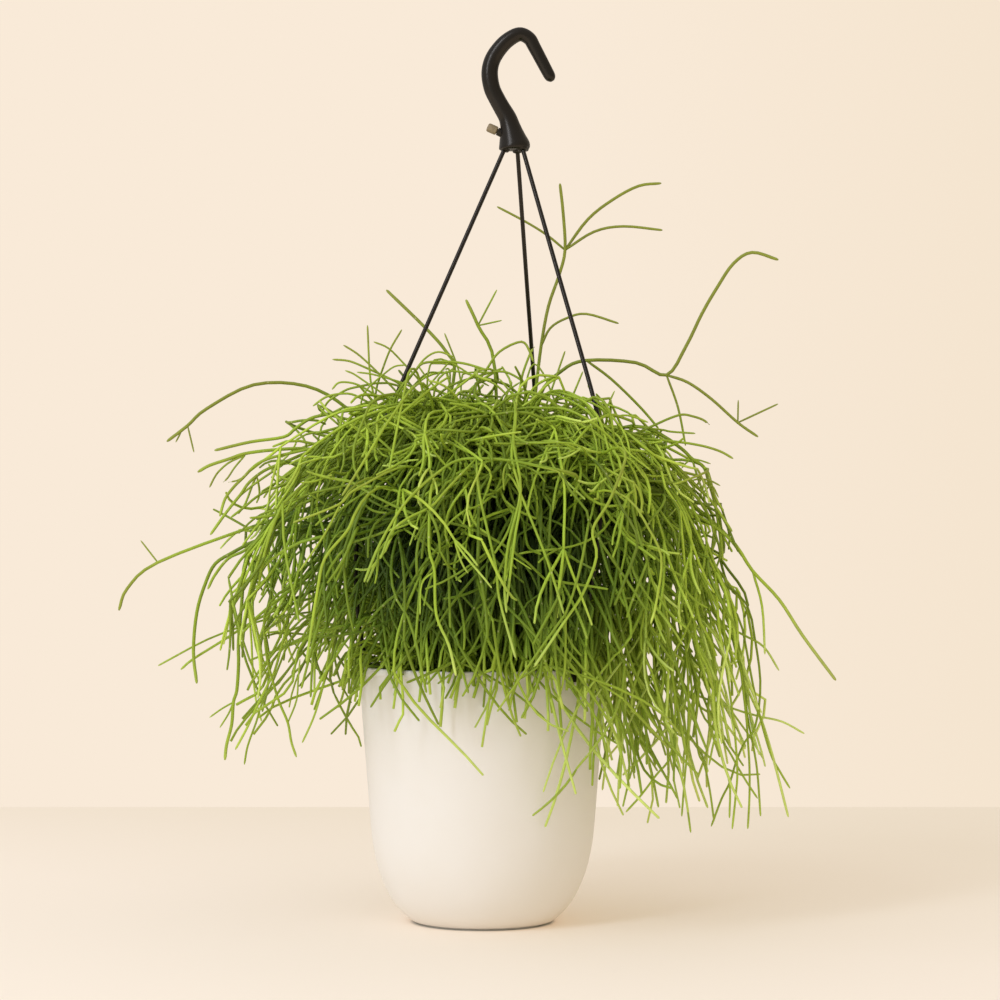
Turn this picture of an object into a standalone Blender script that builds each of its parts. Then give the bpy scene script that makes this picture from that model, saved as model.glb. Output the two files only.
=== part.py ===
"""Mistletoe cactus in a cream hanging pot that stands on its base, with its black hanger.

Metres, +Z up. The origin is the centre of the pot's flat base. The front of the plant faces -Y.
"""

import math
import random

import bmesh
import bpy
from mathutils import Vector

# Pot: a moulded cup with a straight, slightly flared wall and a rounded shoulder to its flat base
POT_SIDES = 40
POT_HEIGHT = 0.1536
POT_BASE_RADIUS = 0.0425
POT_BEND_RADIUS = 0.0670
POT_BEND_HEIGHT = 0.0580
POT_WALL_TOP_RADIUS = 0.0742
POT_WALL = 0.0030
POT_FLOOR = 0.0035
LIP_HEIGHT = 0.0043
LIP_PROUD = 0.0008
LIP_ROUNDING = 0.0008
BEND_STEPS = 6
INSIDE_BEND_STEPS = 3

# Potting mix that fills the pot
FIT_GAP = 0.0004
MIX_TOP = 0.1430
MIX_CROWN = 0.0020

# Foliage: sprays of stems in equal sectors round a crown that leans to the right with height
SECTORS = 15
SECTOR_ANGLE = 2 * math.pi / SECTORS
STRAND_AZIMUTHS = {"left": math.radians(-74.4), "right": math.radians(45.6), "back": math.radians(165.6)}
FIRST_SECTOR_AZIMUTH = STRAND_AZIMUTHS["left"] + SECTOR_ANGLE / 2
LEAN_START = 0.1550
LEAN_RATE = 0.0955
ROOT_RING_RADIUS = 0.0400
ROOT_RADIUS = 0.0050
STEM_CIRCLE = 0.0032
ROOT_BOTTOM = 0.1180
ROOT_TOP = 0.1560
ROOT_SIDES = 6
STEM_START = 0.1480
STEM_RADIUS = 0.0016
TIP_RADIUS = 0.0010
STEM_SIDES = 3
ARCH_STEPS = 6
SHORT_STEPS = 4
TWIG_STEPS = 2
TWIST_STEP = 0.37
TWIG_BASE = 0.0008
TWIG_RADIUS = 0.0014
SINK = 0.0010
FLAT_ANGLE = math.radians(1.0)
SIDE_MARGIN = 0.0019
STRAND_MARGIN = 0.0052
CENTRE_RADIUS = 0.0160
CENTRE_MARGIN = 0.0022
ARCH_END_TOP = 0.2350
CLEAR_RIM_RADIUS = 0.0800
CLEAR_RIM_HEIGHT = 0.1620

# Hanger: hook with a bell base, its pin, and three strands that clip on the pot's lip
HOOK_SIDES = 10
HOOK_PATH = (
    (0.0193, 0.4626, 0.0086),
    (0.0192, 0.4636, 0.0092),
    (0.0189, 0.4656, 0.0092),
    (0.0182, 0.4690, 0.0083),
    (0.0175, 0.4725, 0.0072),
    (0.0166, 0.4766, 0.0061),
    (0.0149, 0.4820, 0.0054),
    (0.0116, 0.4878, 0.0051),
    (0.0087, 0.4930, 0.0050),
    (0.0056, 0.4996, 0.0050),
    (0.0042, 0.5080, 0.0050),
    (0.0053, 0.5152, 0.0049),
    (0.0087, 0.5216, 0.0048),
    (0.0145, 0.5280, 0.0046),
    (0.0219, 0.5320, 0.0043),
    (0.0278, 0.5296, 0.0041),
    (0.0312, 0.5240, 0.0039),
    (0.0382, 0.5108, 0.0036),
    (0.0403, 0.5069, 0.0034),
    (0.0413, 0.5051, 0.0026),
    (0.0419, 0.5040, 0.0012),
)
BELL_BOTTOM = Vector((0.0193, 0.0, 0.4626))
STRAND_SIDES = 6
STRAND_RADIUS = 0.0013
STRAND_CIRCLE_TOP = 0.0066
STRAND_SPREAD = 0.0700
STRAND_SPREAD_HEIGHT = 0.3120
STRAND_BOW = (
    (0.0770, 0.2920),
    (0.0822, 0.2680),
    (0.0845, 0.2380),
    (0.0832, 0.2080),
    (0.0785, 0.1800),
    (0.0745, 0.1640),
    (0.0733, 0.1546),
)
SOCKET_RADIUS = 0.0017
SOCKET_DEPTH = 0.0060
STRAND_IN_SOCKET = 0.0050
CLIP_WIDTH = 0.0080
CLIP_THICKNESS = 0.0018
CLIP_GAP = 0.0004
CLIP_REACH = 0.0070
PIN_CAP_CENTRE = Vector((0.0057, 0.0, 0.4752))
PIN_WAY = Vector((0.914, 0.0, -0.407)).normalized()
PIN_RADIUS = 0.0014
PIN_CAP_RADIUS = 0.0027
PIN_CAP_HALF = 0.0031
PIN_END = 0.0080
COLLAR_RADIUS = 0.0024
COLLAR_START = 0.0035
COLLAR_END = 0.0100

CREAM = (0.86, 0.80, 0.70, 1.0)
PEAT = (0.045, 0.028, 0.018, 1.0)
BLACK = (0.022, 0.022, 0.023, 1.0)
TAN = (0.32, 0.22, 0.12, 1.0)
LEAF_GREEN = (0.165, 0.30, 0.035, 1.0)


def clear_scene():
    for obj in list(bpy.data.objects):
        bpy.data.objects.remove(obj, do_unlink=True)


def material(name, colour, roughness):
    mat = bpy.data.materials.new(name)
    mat.use_nodes = True
    shader = mat.node_tree.nodes["Principled BSDF"]
    shader.inputs["Base Color"].default_value = colour
    shader.inputs["Roughness"].default_value = roughness
    shader.inputs["Metallic"].default_value = 0.0
    return mat


def place(mesh, name, mat=None):
    obj = bpy.data.objects.new(name, mesh)
    bpy.context.scene.collection.objects.link(obj)
    if mat:
        mesh.materials.clear()
        mesh.materials.append(mat)
    return obj


def turned(name, profile, sides, mat=None):
    """A profile of (radius, height) points from the axis to the axis, spun round Z."""
    bm = bmesh.new()
    verts = [bm.verts.new((r, 0.0, z)) for r, z in profile]
    edges = [bm.edges.new(pair) for pair in zip(verts, verts[1:])]
    around = {"cent": (0, 0, 0), "axis": (0, 0, 1), "angle": 2 * math.pi, "steps": sides}
    bmesh.ops.spin(bm, geom=verts + edges, use_merge=True, **around)
    bmesh.ops.remove_doubles(bm, verts=bm.verts, dist=1e-6)
    bmesh.ops.recalc_face_normals(bm, faces=bm.faces)
    return finished(bm, name, mat)


def finished(bm, name, mat=None):
    mesh = bpy.data.meshes.new(name)
    bm.to_mesh(mesh)
    bm.free()
    mesh.shade_smooth()
    mesh.set_sharp_from_angle(angle=math.radians(35))
    return place(mesh, name, mat)


def tube(name, points, radii, sides, twist=0.0, mat=None):
    """A closed round bar along points, with a radius at each."""
    bm = bmesh.new()
    across = Vector((0.0, 1.0, 0.0))
    rings = []
    last = len(points) - 1
    for i, (point, radius) in enumerate(zip(points, radii)):
        along = (points[min(i + 1, last)] - points[max(i - 1, 0)]).normalized()
        across = (across - along * across.dot(along)).normalized()
        third = along.cross(across)
        ring = []
        for k in range(sides):
            angle = twist + 2 * math.pi * k / sides
            outward = across * math.cos(angle) + third * math.sin(angle)
            ring.append(bm.verts.new(point + outward * radius))
        rings.append(ring)
    for low, high in zip(rings, rings[1:]):
        for k in range(sides):
            bm.faces.new((low[k], low[(k + 1) % sides], high[(k + 1) % sides], high[k]))
    bm.faces.new(list(reversed(rings[0])))
    bm.faces.new(rings[-1])
    bmesh.ops.recalc_face_normals(bm, faces=bm.faces)
    return finished(bm, name, mat)


def joined(target, others, operation, solver):
    """Applies one Boolean on a collection to the target and removes the collection's objects."""
    group = bpy.data.collections.new(target.name + "_others")
    bpy.context.scene.collection.children.link(group)
    for other in others:
        bpy.context.scene.collection.objects.unlink(other)
        group.objects.link(other)
    boolean = target.modifiers.new("Boolean", "BOOLEAN")
    boolean.operation = operation
    boolean.operand_type = "COLLECTION"
    boolean.collection = group
    boolean.solver = solver
    graph = bpy.context.evaluated_depsgraph_get()
    mesh = bpy.data.meshes.new_from_object(target.evaluated_get(graph))
    target.modifiers.clear()
    target.data = mesh
    for other in others:
        bpy.data.objects.remove(other, do_unlink=True)
    bpy.data.collections.remove(group)
    return target


def body_of(obj):
    """Keeps the largest connected body and drops sealed hollows and scraps."""
    bm = bmesh.new()
    bm.from_mesh(obj.data)
    bmesh.ops.dissolve_limit(bm, angle_limit=FLAT_ANGLE, verts=bm.verts, edges=bm.edges)
    bmesh.ops.triangulate(bm, faces=bm.faces)
    unseen = set(bm.faces)
    bodies = []
    while unseen:
        stack = [unseen.pop()]
        body = list(stack)
        while stack:
            face = stack.pop()
            closed = [edge for edge in face.edges if len(edge.link_faces) == 2]
            for neighbour in [other for edge in closed for other in edge.link_faces]:
                if neighbour in unseen:
                    unseen.discard(neighbour)
                    stack.append(neighbour)
                    body.append(neighbour)
        bodies.append(body)
    bodies.sort(key=len, reverse=True)
    loose = [face for body in bodies[1:] for face in body]
    bmesh.ops.delete(bm, geom=loose, context="FACES")
    bm.to_mesh(obj.data)
    bm.free()
    return obj


def bezier(p0, p1, p2, p3, steps):
    out = []
    for i in range(steps + 1):
        t = i / steps
        s = 1 - t
        shares = (s**3, 3 * s * s * t, 3 * s * t * t, t**3)
        out.append(tuple(sum(w * v for w, v in zip(shares, values)) for values in zip(p0, p1, p2, p3)))
    return out


def pot_wall(inset, base, steps):
    """The pot's side from its base to its straight wall's top, moved inwards by inset."""
    bend = bezier(
        (POT_BASE_RADIUS - inset * 0.6, base),
        (POT_BASE_RADIUS + 0.0130 - inset, base + 0.0085),
        (POT_BEND_RADIUS - 0.0023 - inset, POT_BEND_HEIGHT / 2 + base * 0.5),
        (POT_BEND_RADIUS - inset, POT_BEND_HEIGHT),
        steps,
    )
    return bend + [(POT_WALL_TOP_RADIUS - inset, POT_HEIGHT - LIP_HEIGHT)]


def make_pot(mat):
    outside = pot_wall(0.0, 0.0, BEND_STEPS)
    inside = pot_wall(POT_WALL, POT_FLOOR, INSIDE_BEND_STEPS)
    lip_radius = POT_WALL_TOP_RADIUS + LIP_PROUD
    lip_bottom = POT_HEIGHT - LIP_HEIGHT
    lip = [
        (lip_radius, lip_bottom + LIP_ROUNDING),
        (lip_radius, POT_HEIGHT - LIP_ROUNDING),
        (lip_radius - LIP_ROUNDING, POT_HEIGHT),
        (POT_WALL_TOP_RADIUS - POT_WALL + LIP_ROUNDING, POT_HEIGHT),
        (POT_WALL_TOP_RADIUS - POT_WALL, POT_HEIGHT - LIP_ROUNDING),
    ]
    profile = [(0.0, 0.0)] + outside + lip + list(reversed(inside)) + [(0.0, POT_FLOOR)]
    return turned("pot", profile, POT_SIDES, mat)


def root_places():
    places = [sector_point(sector_azimuth(k), ROOT_RING_RADIUS, 0.0, 0.0) for k in range(SECTORS)]
    return places + [Vector((0.0, 0.0, 0.0))]


def make_potting_mix(mat):
    wall = pot_wall(POT_WALL + FIT_GAP, POT_FLOOR + FIT_GAP, INSIDE_BEND_STEPS)
    side = [point for point in wall if point[1] < MIX_TOP]
    top_radius = side[-1][0] + (MIX_TOP - side[-1][1]) * wall_slope()
    profile = [(0.0, POT_FLOOR + FIT_GAP)] + side + [(top_radius, MIX_TOP), (0.0, MIX_TOP + MIX_CROWN)]
    mix = turned("potting_mix", profile, POT_SIDES, mat)
    holes = []
    for k, place_of_root in enumerate(root_places()):
        low = Vector((place_of_root.x, place_of_root.y, ROOT_BOTTOM - 2 * FIT_GAP))
        high = Vector((place_of_root.x, place_of_root.y, ROOT_TOP))
        radius = ROOT_RADIUS + 2 * FIT_GAP
        holes.append(tube(f"hole_{k}", [low, high], [radius, radius], ROOT_SIDES))
    joined(mix, holes, "DIFFERENCE", "EXACT")
    return mix


def wall_slope():
    return (POT_WALL_TOP_RADIUS - POT_BEND_RADIUS) / (POT_HEIGHT - LIP_HEIGHT - POT_BEND_HEIGHT)


def sector_azimuth(k):
    return FIRST_SECTOR_AZIMUTH + k * SECTOR_ANGLE


def lean(z):
    return LEAN_RATE * (z - LEAN_START)


def sector_point(azimuth, r, v, z):
    """A place r out along a sector's middle plane, v to its side, at height z, on the leaning crown."""
    x = r * math.sin(azimuth) + v * math.cos(azimuth)
    y = -r * math.cos(azimuth) + v * math.sin(azimuth)
    return Vector((x, y, z))


def leaned(point):
    return Vector((point.x + lean(point.z), point.y, point.z))


def same_azimuth(a, b):
    return abs(math.remainder(a - b, 2 * math.pi)) < 0.01


def margin_of(k, side):
    """How far stems keep from a sector's edge, wider where that edge holds a strand."""
    edge = FIRST_SECTOR_AZIMUTH + (k + side / 2) * SECTOR_ANGLE
    for azimuth in STRAND_AZIMUTHS.values():
        if same_azimuth(edge, azimuth):
            return STRAND_MARGIN
    return SIDE_MARGIN


def kept_in_sector(k, r, v, z):
    """Moves a place clear of the sector's edges, the centre spray, the rim and the potting mix."""
    half = SECTOR_ANGLE / 2
    if z > ROOT_TOP:
        r = max(r, CENTRE_RADIUS + CENTRE_MARGIN)
    if z < CLEAR_RIM_HEIGHT and r > CLEAR_RIM_RADIUS - 0.006:
        r = max(r, CLEAR_RIM_RADIUS)
    low = -(r * math.tan(half) - margin_of(k, -1) / math.cos(half))
    high = r * math.tan(half) - margin_of(k, 1) / math.cos(half)
    if low > high:
        low = high = (low + high) / 2
    return r, min(max(v, low), high), z


def stem_radii(count, start, end):
    return [start + (end - start) * (i / (count - 1)) ** 1.5 for i in range(count)]


def sector_stem(k, profile, turn, sideways, rng):
    """A stem's points: its (r, z) profile from its place on the root, drifting to its own side."""
    points = []
    last = len(profile) - 1
    phase = rng.uniform(0, 2 * math.pi)
    start_r = STEM_CIRCLE * math.cos(turn) if turn is not None else 0.0
    start_v = STEM_CIRCLE * math.sin(turn) if turn is not None else 0.0
    for i, (r, z) in enumerate(profile):
        t = i / last
        width = r * math.tan(SECTOR_ANGLE / 2)
        wave = 0.25 * math.sin(phase + 4.0 * t) * t
        r += start_r * (1 - t)
        v = width * (sideways * t ** 0.8 + wave) + start_v * (1 - t)
        if i:
            r, v, z = kept_in_sector(k, r, v, z)
        points.append((r, v, z))
    return points


def twig(k, base, direction, length, droop, steps):
    """A short stem from a fork: it leaves along direction and bends down by droop over its length."""
    points = []
    for i in range(steps + 1):
        s = length * i / steps
        r = base[0] + direction[0] * s
        v = base[1] + direction[1] * s
        z = base[2] + direction[2] * s - droop * length * (i / steps) ** 2
        if i:
            r, v, z = kept_in_sector(k, r, v, z)
        points.append((r, v, z))
    return points


def fork_directions(along, count, spread, rng):
    """Directions of a whorl's twigs round the way that the stem grows."""
    axis = Vector(along).normalized()
    side = axis.orthogonal().normalized()
    third = axis.cross(side)
    turn = rng.uniform(0, 2 * math.pi)
    out = []
    for i in range(count):
        angle = turn + 2 * math.pi * i / count
        tilt = spread * rng.uniform(0.75, 1.25)
        across = side * math.cos(angle) + third * math.sin(angle)
        out.append(axis * math.cos(tilt) + across * math.sin(tilt))
    return out


def envelope(azimuth):
    """The foliage's reach, lowest tips, top, and how high its widest stems end, by the way it faces."""
    right = max(math.sin(azimuth), 0.0)
    left = max(-math.sin(azimuth), 0.0)
    front = max(math.cos(azimuth), 0.0)
    reach = 0.152 + 0.036 * right**2 + 0.030 * left**2 - 0.010 * front**2
    low = 0.088 - 0.020 * right**2 + 0.006 * left**2 + 0.022 * front**4
    top = 0.320 + 0.004 * left
    hang = 0.10 + 0.34 * left
    return reach, low, top, hang


def arch_profile(end_r, end_z, crest):
    """A stem that rises, crests and hangs: (r, z) points along one smooth curve."""
    start_r, start_z = ROOT_RING_RADIUS, STEM_START
    height = (crest - (start_z + end_z) / 8) / 0.75
    out_r = start_r + 0.12 * (end_r - start_r)
    return bezier((start_r, start_z), (out_r, height), (0.95 * end_r, height), (end_r, end_z), ARCH_STEPS)


def short_profile(first, second, end):
    return bezier((ROOT_RING_RADIUS, STEM_START), first, second, end, SHORT_STEPS)


def stem_plans(azimuth, rng):
    """A sector's stems as (kind, place on the root, drift to the side, (r, z) profile), longest first."""
    reach, low, top, hang = envelope(azimuth)
    plans = []
    arches = (
        (1.0, hang, math.radians(60), 0.75),
        (0.86, 0.44 - hang, math.radians(-60), -0.75),
        (0.72, 0.12, None, 0.0),
    )
    for share, drop, turn, side in arches:
        end_r = reach * share * rng.uniform(0.95, 1.0)
        end_z = low + (ARCH_END_TOP - low) * drop + rng.uniform(0.0, 0.022)
        crest = top - 0.075 * (1.0 - share) - rng.uniform(0.005, 0.022)
        plans.append(("arch", turn, side + rng.uniform(-0.2, 0.2), arch_profile(end_r, end_z, crest)))
    for turn, side in ((math.radians(120), 0.6), (math.radians(-120), -0.6)):
        end_r = rng.uniform(0.035, 0.115)
        end_z = top + 0.0035 - 0.25 * end_r - rng.uniform(0.0, 0.012)
        first = (ROOT_RING_RADIUS - 0.012, STEM_START + 0.11)
        profile = short_profile(first, (end_r - 0.036, end_z + 0.016), (end_r, end_z))
        plans.append(("crown", turn, side + rng.uniform(-0.3, 0.3), profile))
    end_r = rng.uniform(0.070, 0.105)
    end = (end_r, rng.uniform(0.175, 0.215))
    profile = short_profile((ROOT_RING_RADIUS - 0.006, 0.275), (end_r * 0.85, 0.280), end)
    plans.append(("inner", math.pi, rng.uniform(-0.4, 0.4), profile))
    end_r = rng.uniform(0.098, 0.125)
    end = (end_r, low + rng.uniform(0.0, 0.04))
    profile = short_profile((0.058, 0.215), (end_r * 0.95, 0.215), end)
    plans.append(("spill", 0.0, rng.uniform(-0.4, 0.4), profile))
    return plans


def way_at(points, i):
    ahead = points[min(i + 1, len(points) - 1)]
    behind = points[max(i - 1, 0)]
    return Vector(ahead) - Vector(behind)


def between(points, i):
    """The middle of the stretch between two of a stem's points, and its direction."""
    low = Vector(points[i])
    high = Vector(points[i + 1])
    return (low + high) / 2, (high - low).normalized()


def sector_spray(k):
    """All the stems of a sector as (points, radii), with points in the sector's own r, v, z."""
    rng = random.Random(100 + k)
    azimuth = sector_azimuth(k)
    stems = []
    plans = stem_plans(azimuth, rng)
    for number, (kind, turn, sideways, profile) in enumerate(plans):
        points = sector_stem(k, profile, turn, sideways, rng)
        droop = 0.35 if kind != "crown" else 0.15
        tip_way = fork_directions(way_at(points, len(points) - 1), 1, 0.35, rng)[0]
        tip = twig(k, points[-1], tip_way, rng.uniform(0.024, 0.040), droop, 1)
        points = points + tip[1:]
        stems.append((points, stem_radii(len(points), STEM_RADIUS, TIP_RADIUS)))
        forks = []
        if kind in ("arch", "crown"):
            forks = [len(points) - 2, len(points) - 3 - number % 2]
        for i in forks:
            middle, along = between(points, i - 1)
            for direction in fork_directions(along, 1, 0.60, rng):
                base = middle - direction * SINK
                length = rng.uniform(0.028, 0.050)
                twig_points = twig(k, tuple(base), direction, length, droop, TWIG_STEPS)
                stems.append((twig_points, [TWIG_BASE, TWIG_RADIUS, TIP_RADIUS]))
    return stems


def centre_spray():
    """The spray in the middle of the crown: upright stems that open only above the others."""
    rng = random.Random(77)
    stems = []
    count = 6
    for i in range(count):
        angle = 2 * math.pi * i / count + 0.3
        top = rng.uniform(0.305, 0.332)
        points = []
        for step in range(ARCH_STEPS):
            t = step / (ARCH_STEPS - 1)
            r = STEM_CIRCLE + (CENTRE_RADIUS - 0.0035 - STEM_CIRCLE) * t
            bend = angle + 0.5 * t
            points.append((r * math.sin(bend), -r * math.cos(bend), STEM_START + (top - STEM_START) * t))
        stems.append((points, stem_radii(len(points), STEM_RADIUS, TIP_RADIUS)))
    return stems


def tall_stem():
    """The tall stem at the back of the crown, with its high whorl and one side branch: world places."""
    whorl = (0.0502, 0.0360, 0.4056)
    fork = (0.0355, 0.0360, 0.3465)
    return [
        [
            (0.0165, 0.0330, 0.1490), (0.0205, 0.0360, 0.2200), (0.0275, 0.0370, 0.2800),
            (0.0320, 0.0365, 0.3170), fork, (0.0400, 0.0360, 0.3710), (0.0465, 0.0360, 0.3900), whorl,
            (0.0490, 0.0340, 0.4280), (0.0470, 0.0330, 0.4460),
        ],
        [whorl, (0.0392, 0.0370, 0.4148), (0.0257, 0.0380, 0.4233), (0.0086, 0.0400, 0.4325)],
        [
            whorl, (0.0643, 0.0380, 0.4246), (0.0796, 0.0400, 0.4368), (0.0955, 0.0420, 0.4454),
            (0.1095, 0.0430, 0.4472),
        ],
        [whorl, (0.0679, 0.0340, 0.4166), (0.0857, 0.0320, 0.4197), (0.1095, 0.0300, 0.4172)],
        [
            fork, (0.0410, 0.0330, 0.3575), (0.0510, 0.0300, 0.3635), (0.0630, 0.0280, 0.3660),
            (0.0826, 0.0250, 0.3600),
        ],
    ]


def right_arch():
    """The stem that arches out over the right shoulder and forks into a long curl and a whorl."""
    shoulder = (0.0620, -0.0070, 0.3360)
    node = (0.1095, -0.0140, 0.3270)
    whorl = (0.1515, -0.0200, 0.2985)
    return [
        [
            (0.0365, -0.0050, 0.1490), (0.0340, -0.0045, 0.2200), (0.0312, -0.0030, 0.2750),
            (0.0340, -0.0030, 0.3140), (0.0475, -0.0050, 0.3300), shoulder, (0.0915, -0.0110, 0.3345), node,
            (0.1210, -0.0160, 0.3440), (0.1305, -0.0170, 0.3635), (0.1395, -0.0180, 0.3790),
            (0.1490, -0.0190, 0.3930), (0.1600, -0.0200, 0.3995), (0.1755, -0.0210, 0.3950),
        ],
        [node, (0.1220, -0.0170, 0.3225), (0.1360, -0.0190, 0.3125), whorl, (0.1635, -0.0210, 0.2900)],
        [whorl, (0.1750, -0.0240, 0.3095)],
        [whorl, (0.1520, -0.0170, 0.3120)],
        [node, (0.1165, -0.0130, 0.3075), (0.1210, -0.0120, 0.2850)],
        [shoulder, (0.0770, -0.0040, 0.3250), (0.0940, -0.0020, 0.3087), (0.1055, -0.0010, 0.2955)],
    ]


def far_right_stem():
    """The longest stem of the right side, which trails past the others."""
    fork = (0.1590, -0.0340, 0.2110)
    return [
        [
            (0.0425, -0.0070, 0.1500), (0.0500, -0.0130, 0.2200), (0.0760, -0.0190, 0.2560),
            (0.1050, -0.0240, 0.2550), (0.1435, -0.0310, 0.2320), fork, (0.1745, -0.0370, 0.1940),
            (0.1880, -0.0400, 0.1730), (0.2070, -0.0440, 0.1470),
        ],
        [fork, (0.1645, -0.0360, 0.1900), (0.1660, -0.0380, 0.1620)],
    ]


def left_stems():
    """The long arch, the long low stem and the upright whorl of the left side."""
    arch_fork = (-0.1760, -0.0100, 0.2970)
    low_fork = (-0.1930, -0.0170, 0.2155)
    whorl = (-0.0610, 0.0050, 0.3280)
    return [
        [
            (-0.0410, 0.0000, 0.1490), (-0.0470, 0.0010, 0.2300), (-0.0620, 0.0020, 0.2850),
            (-0.0820, 0.0020, 0.3080), (-0.1060, 0.0000, 0.3210), (-0.1370, -0.0040, 0.3216),
            (-0.1650, -0.0080, 0.3070), arch_fork, (-0.1885, -0.0090, 0.2875),
        ],
        [arch_fork, (-0.1720, -0.0120, 0.2810)],
        [
            (-0.0430, -0.0020, 0.1500), (-0.0510, -0.0080, 0.2150), (-0.0680, -0.0100, 0.2480),
            (-0.0900, -0.0110, 0.2510), (-0.1360, -0.0140, 0.2370), low_fork, (-0.2110, -0.0180, 0.2000),
            (-0.2160, -0.0180, 0.1870),
        ],
        [low_fork, (-0.2035, -0.0140, 0.2285)],
        [
            (-0.0390, 0.0010, 0.1500), (-0.0480, 0.0060, 0.2500), (-0.0560, 0.0065, 0.3050), whorl,
            (-0.0690, 0.0020, 0.3570),
        ],
        [whorl, (-0.0840, 0.0030, 0.3455)],
        [whorl, (-0.0485, 0.0070, 0.3550)],
    ]


def upper_left_stem():
    """The upright that leans out of the crown to the upper left."""
    return [[
        (-0.0360, 0.0135, 0.1500), (-0.0330, 0.0120, 0.2300), (-0.0240, 0.0105, 0.2950),
        (-0.0170, 0.0095, 0.3300), (-0.0220, 0.0110, 0.3420), (-0.0340, 0.0140, 0.3560),
        (-0.0585, 0.0200, 0.3800),
    ]]


def centre_whorl():
    """The small whorl that stands up from the middle of the crown."""
    whorl = (-0.0028, -0.0040, 0.3570)
    return [
        [
            (0.0000, 0.0000, 0.1500), (0.0080, -0.0010, 0.2400), (0.0075, -0.0030, 0.3300), whorl,
            (-0.0100, -0.0050, 0.3725),
        ],
        [whorl, (0.0085, -0.0030, 0.3785)],
        [whorl, (0.0115, -0.0060, 0.3600)],
    ]


def known_stems(k):
    """The stems that give this plant its outline, for the sector that they grow from."""
    makers = (
        (153.6, tall_stem),
        (81.6, right_arch),
        (81.6, far_right_stem),
        (-86.4, left_stems),
        (-110.4, upper_left_stem),
    )
    found = []
    for degrees, make in makers:
        if same_azimuth(sector_azimuth(k), math.radians(degrees)):
            found += make()
    return found


def known_tubes(paths):
    """World points and radii of the known stems; a branch starts a little back inside its fork."""
    out = []
    for path in paths:
        points = [Vector(point) for point in path]
        branch = points[0].z > ROOT_TOP
        if branch:
            points[0] -= (points[1] - points[0]).normalized() * SINK
        radii = stem_radii(len(points), TWIG_BASE if branch else STEM_RADIUS, TIP_RADIUS)
        if branch and len(points) > 2:
            radii[1] = TWIG_RADIUS
        out.append((points, radii))
    return out


def spray_object(name, root, tubes, mat):
    """Fuses a spray's stems to the woody root that stands in the potting mix."""
    low = Vector((root.x, root.y, ROOT_BOTTOM))
    middle = Vector((root.x, root.y, STEM_START + 0.002))
    high = Vector((root.x + lean(ROOT_TOP), root.y, ROOT_TOP))
    root_radii = [ROOT_RADIUS * 0.9, ROOT_RADIUS, ROOT_RADIUS * 0.7]
    base = tube(name, [low, middle, high], root_radii, ROOT_SIDES, 0.1)
    others = []
    for i, (points, radii) in enumerate(tubes):
        others.append(tube(f"{name}_{i}", points, radii, STEM_SIDES, TWIST_STEP * i))
    joined(base, others, "UNION", "MANIFOLD")
    body_of(base)
    base.data.materials.clear()
    base.data.materials.append(mat)
    return base


def make_sprays(mat):
    for k in range(SECTORS):
        azimuth = sector_azimuth(k)
        root = sector_point(azimuth, ROOT_RING_RADIUS, 0.0, 0.0)
        tubes = []
        for points, radii in sector_spray(k):
            tubes.append(([leaned(sector_point(azimuth, *point)) for point in points], radii))
        spray_object(f"spray_{k + 1:02d}", root, tubes + known_tubes(known_stems(k)), mat)
    tubes = []
    for points, radii in centre_spray():
        tubes.append(([leaned(Vector(point)) for point in points], radii))
    spray_object("spray_centre", Vector((0.0, 0.0, 0.0)), tubes + known_tubes(centre_whorl()), mat)


def strand_top(azimuth):
    """Where a strand leaves the bell, and the way it runs up into its socket."""
    x, y = math.sin(azimuth), -math.cos(azimuth)
    top = BELL_BOTTOM + Vector((x, y, 0.0)) * STRAND_CIRCLE_TOP
    middle = Vector((lean(STRAND_SPREAD_HEIGHT), 0.0, STRAND_SPREAD_HEIGHT))
    spread = middle + Vector((x, y, 0.0)) * STRAND_SPREAD
    return top, spread, (top - spread).normalized()


def make_hook(mat):
    points = [Vector((x, 0.0, z)) for x, z, _ in HOOK_PATH]
    hook = tube("hanger_hook", points, [radius for _, _, radius in HOOK_PATH], HOOK_SIDES, 0.0, mat)
    collar = tube(
        "collar",
        [PIN_CAP_CENTRE + PIN_WAY * COLLAR_START, PIN_CAP_CENTRE + PIN_WAY * COLLAR_END],
        [COLLAR_RADIUS, COLLAR_RADIUS],
        8,
        0.2,
    )
    joined(hook, [collar], "UNION", "MANIFOLD")
    cutters = []
    for name, azimuth in STRAND_AZIMUTHS.items():
        top, _, way = strand_top(azimuth)
        ends = [top - way * 0.004, top + way * SOCKET_DEPTH]
        cutters.append(tube(f"socket_{name}", ends, [SOCKET_RADIUS, SOCKET_RADIUS], 8, 0.2))
    ends = [PIN_CAP_CENTRE, PIN_CAP_CENTRE + PIN_WAY * (PIN_END + CLIP_GAP)]
    cutters.append(tube("pin_hole", ends, [PIN_RADIUS + CLIP_GAP, PIN_RADIUS + CLIP_GAP], 8, 0.3))
    joined(hook, cutters, "DIFFERENCE", "MANIFOLD")
    hook.data.materials.clear()
    hook.data.materials.append(mat)
    return hook


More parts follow.
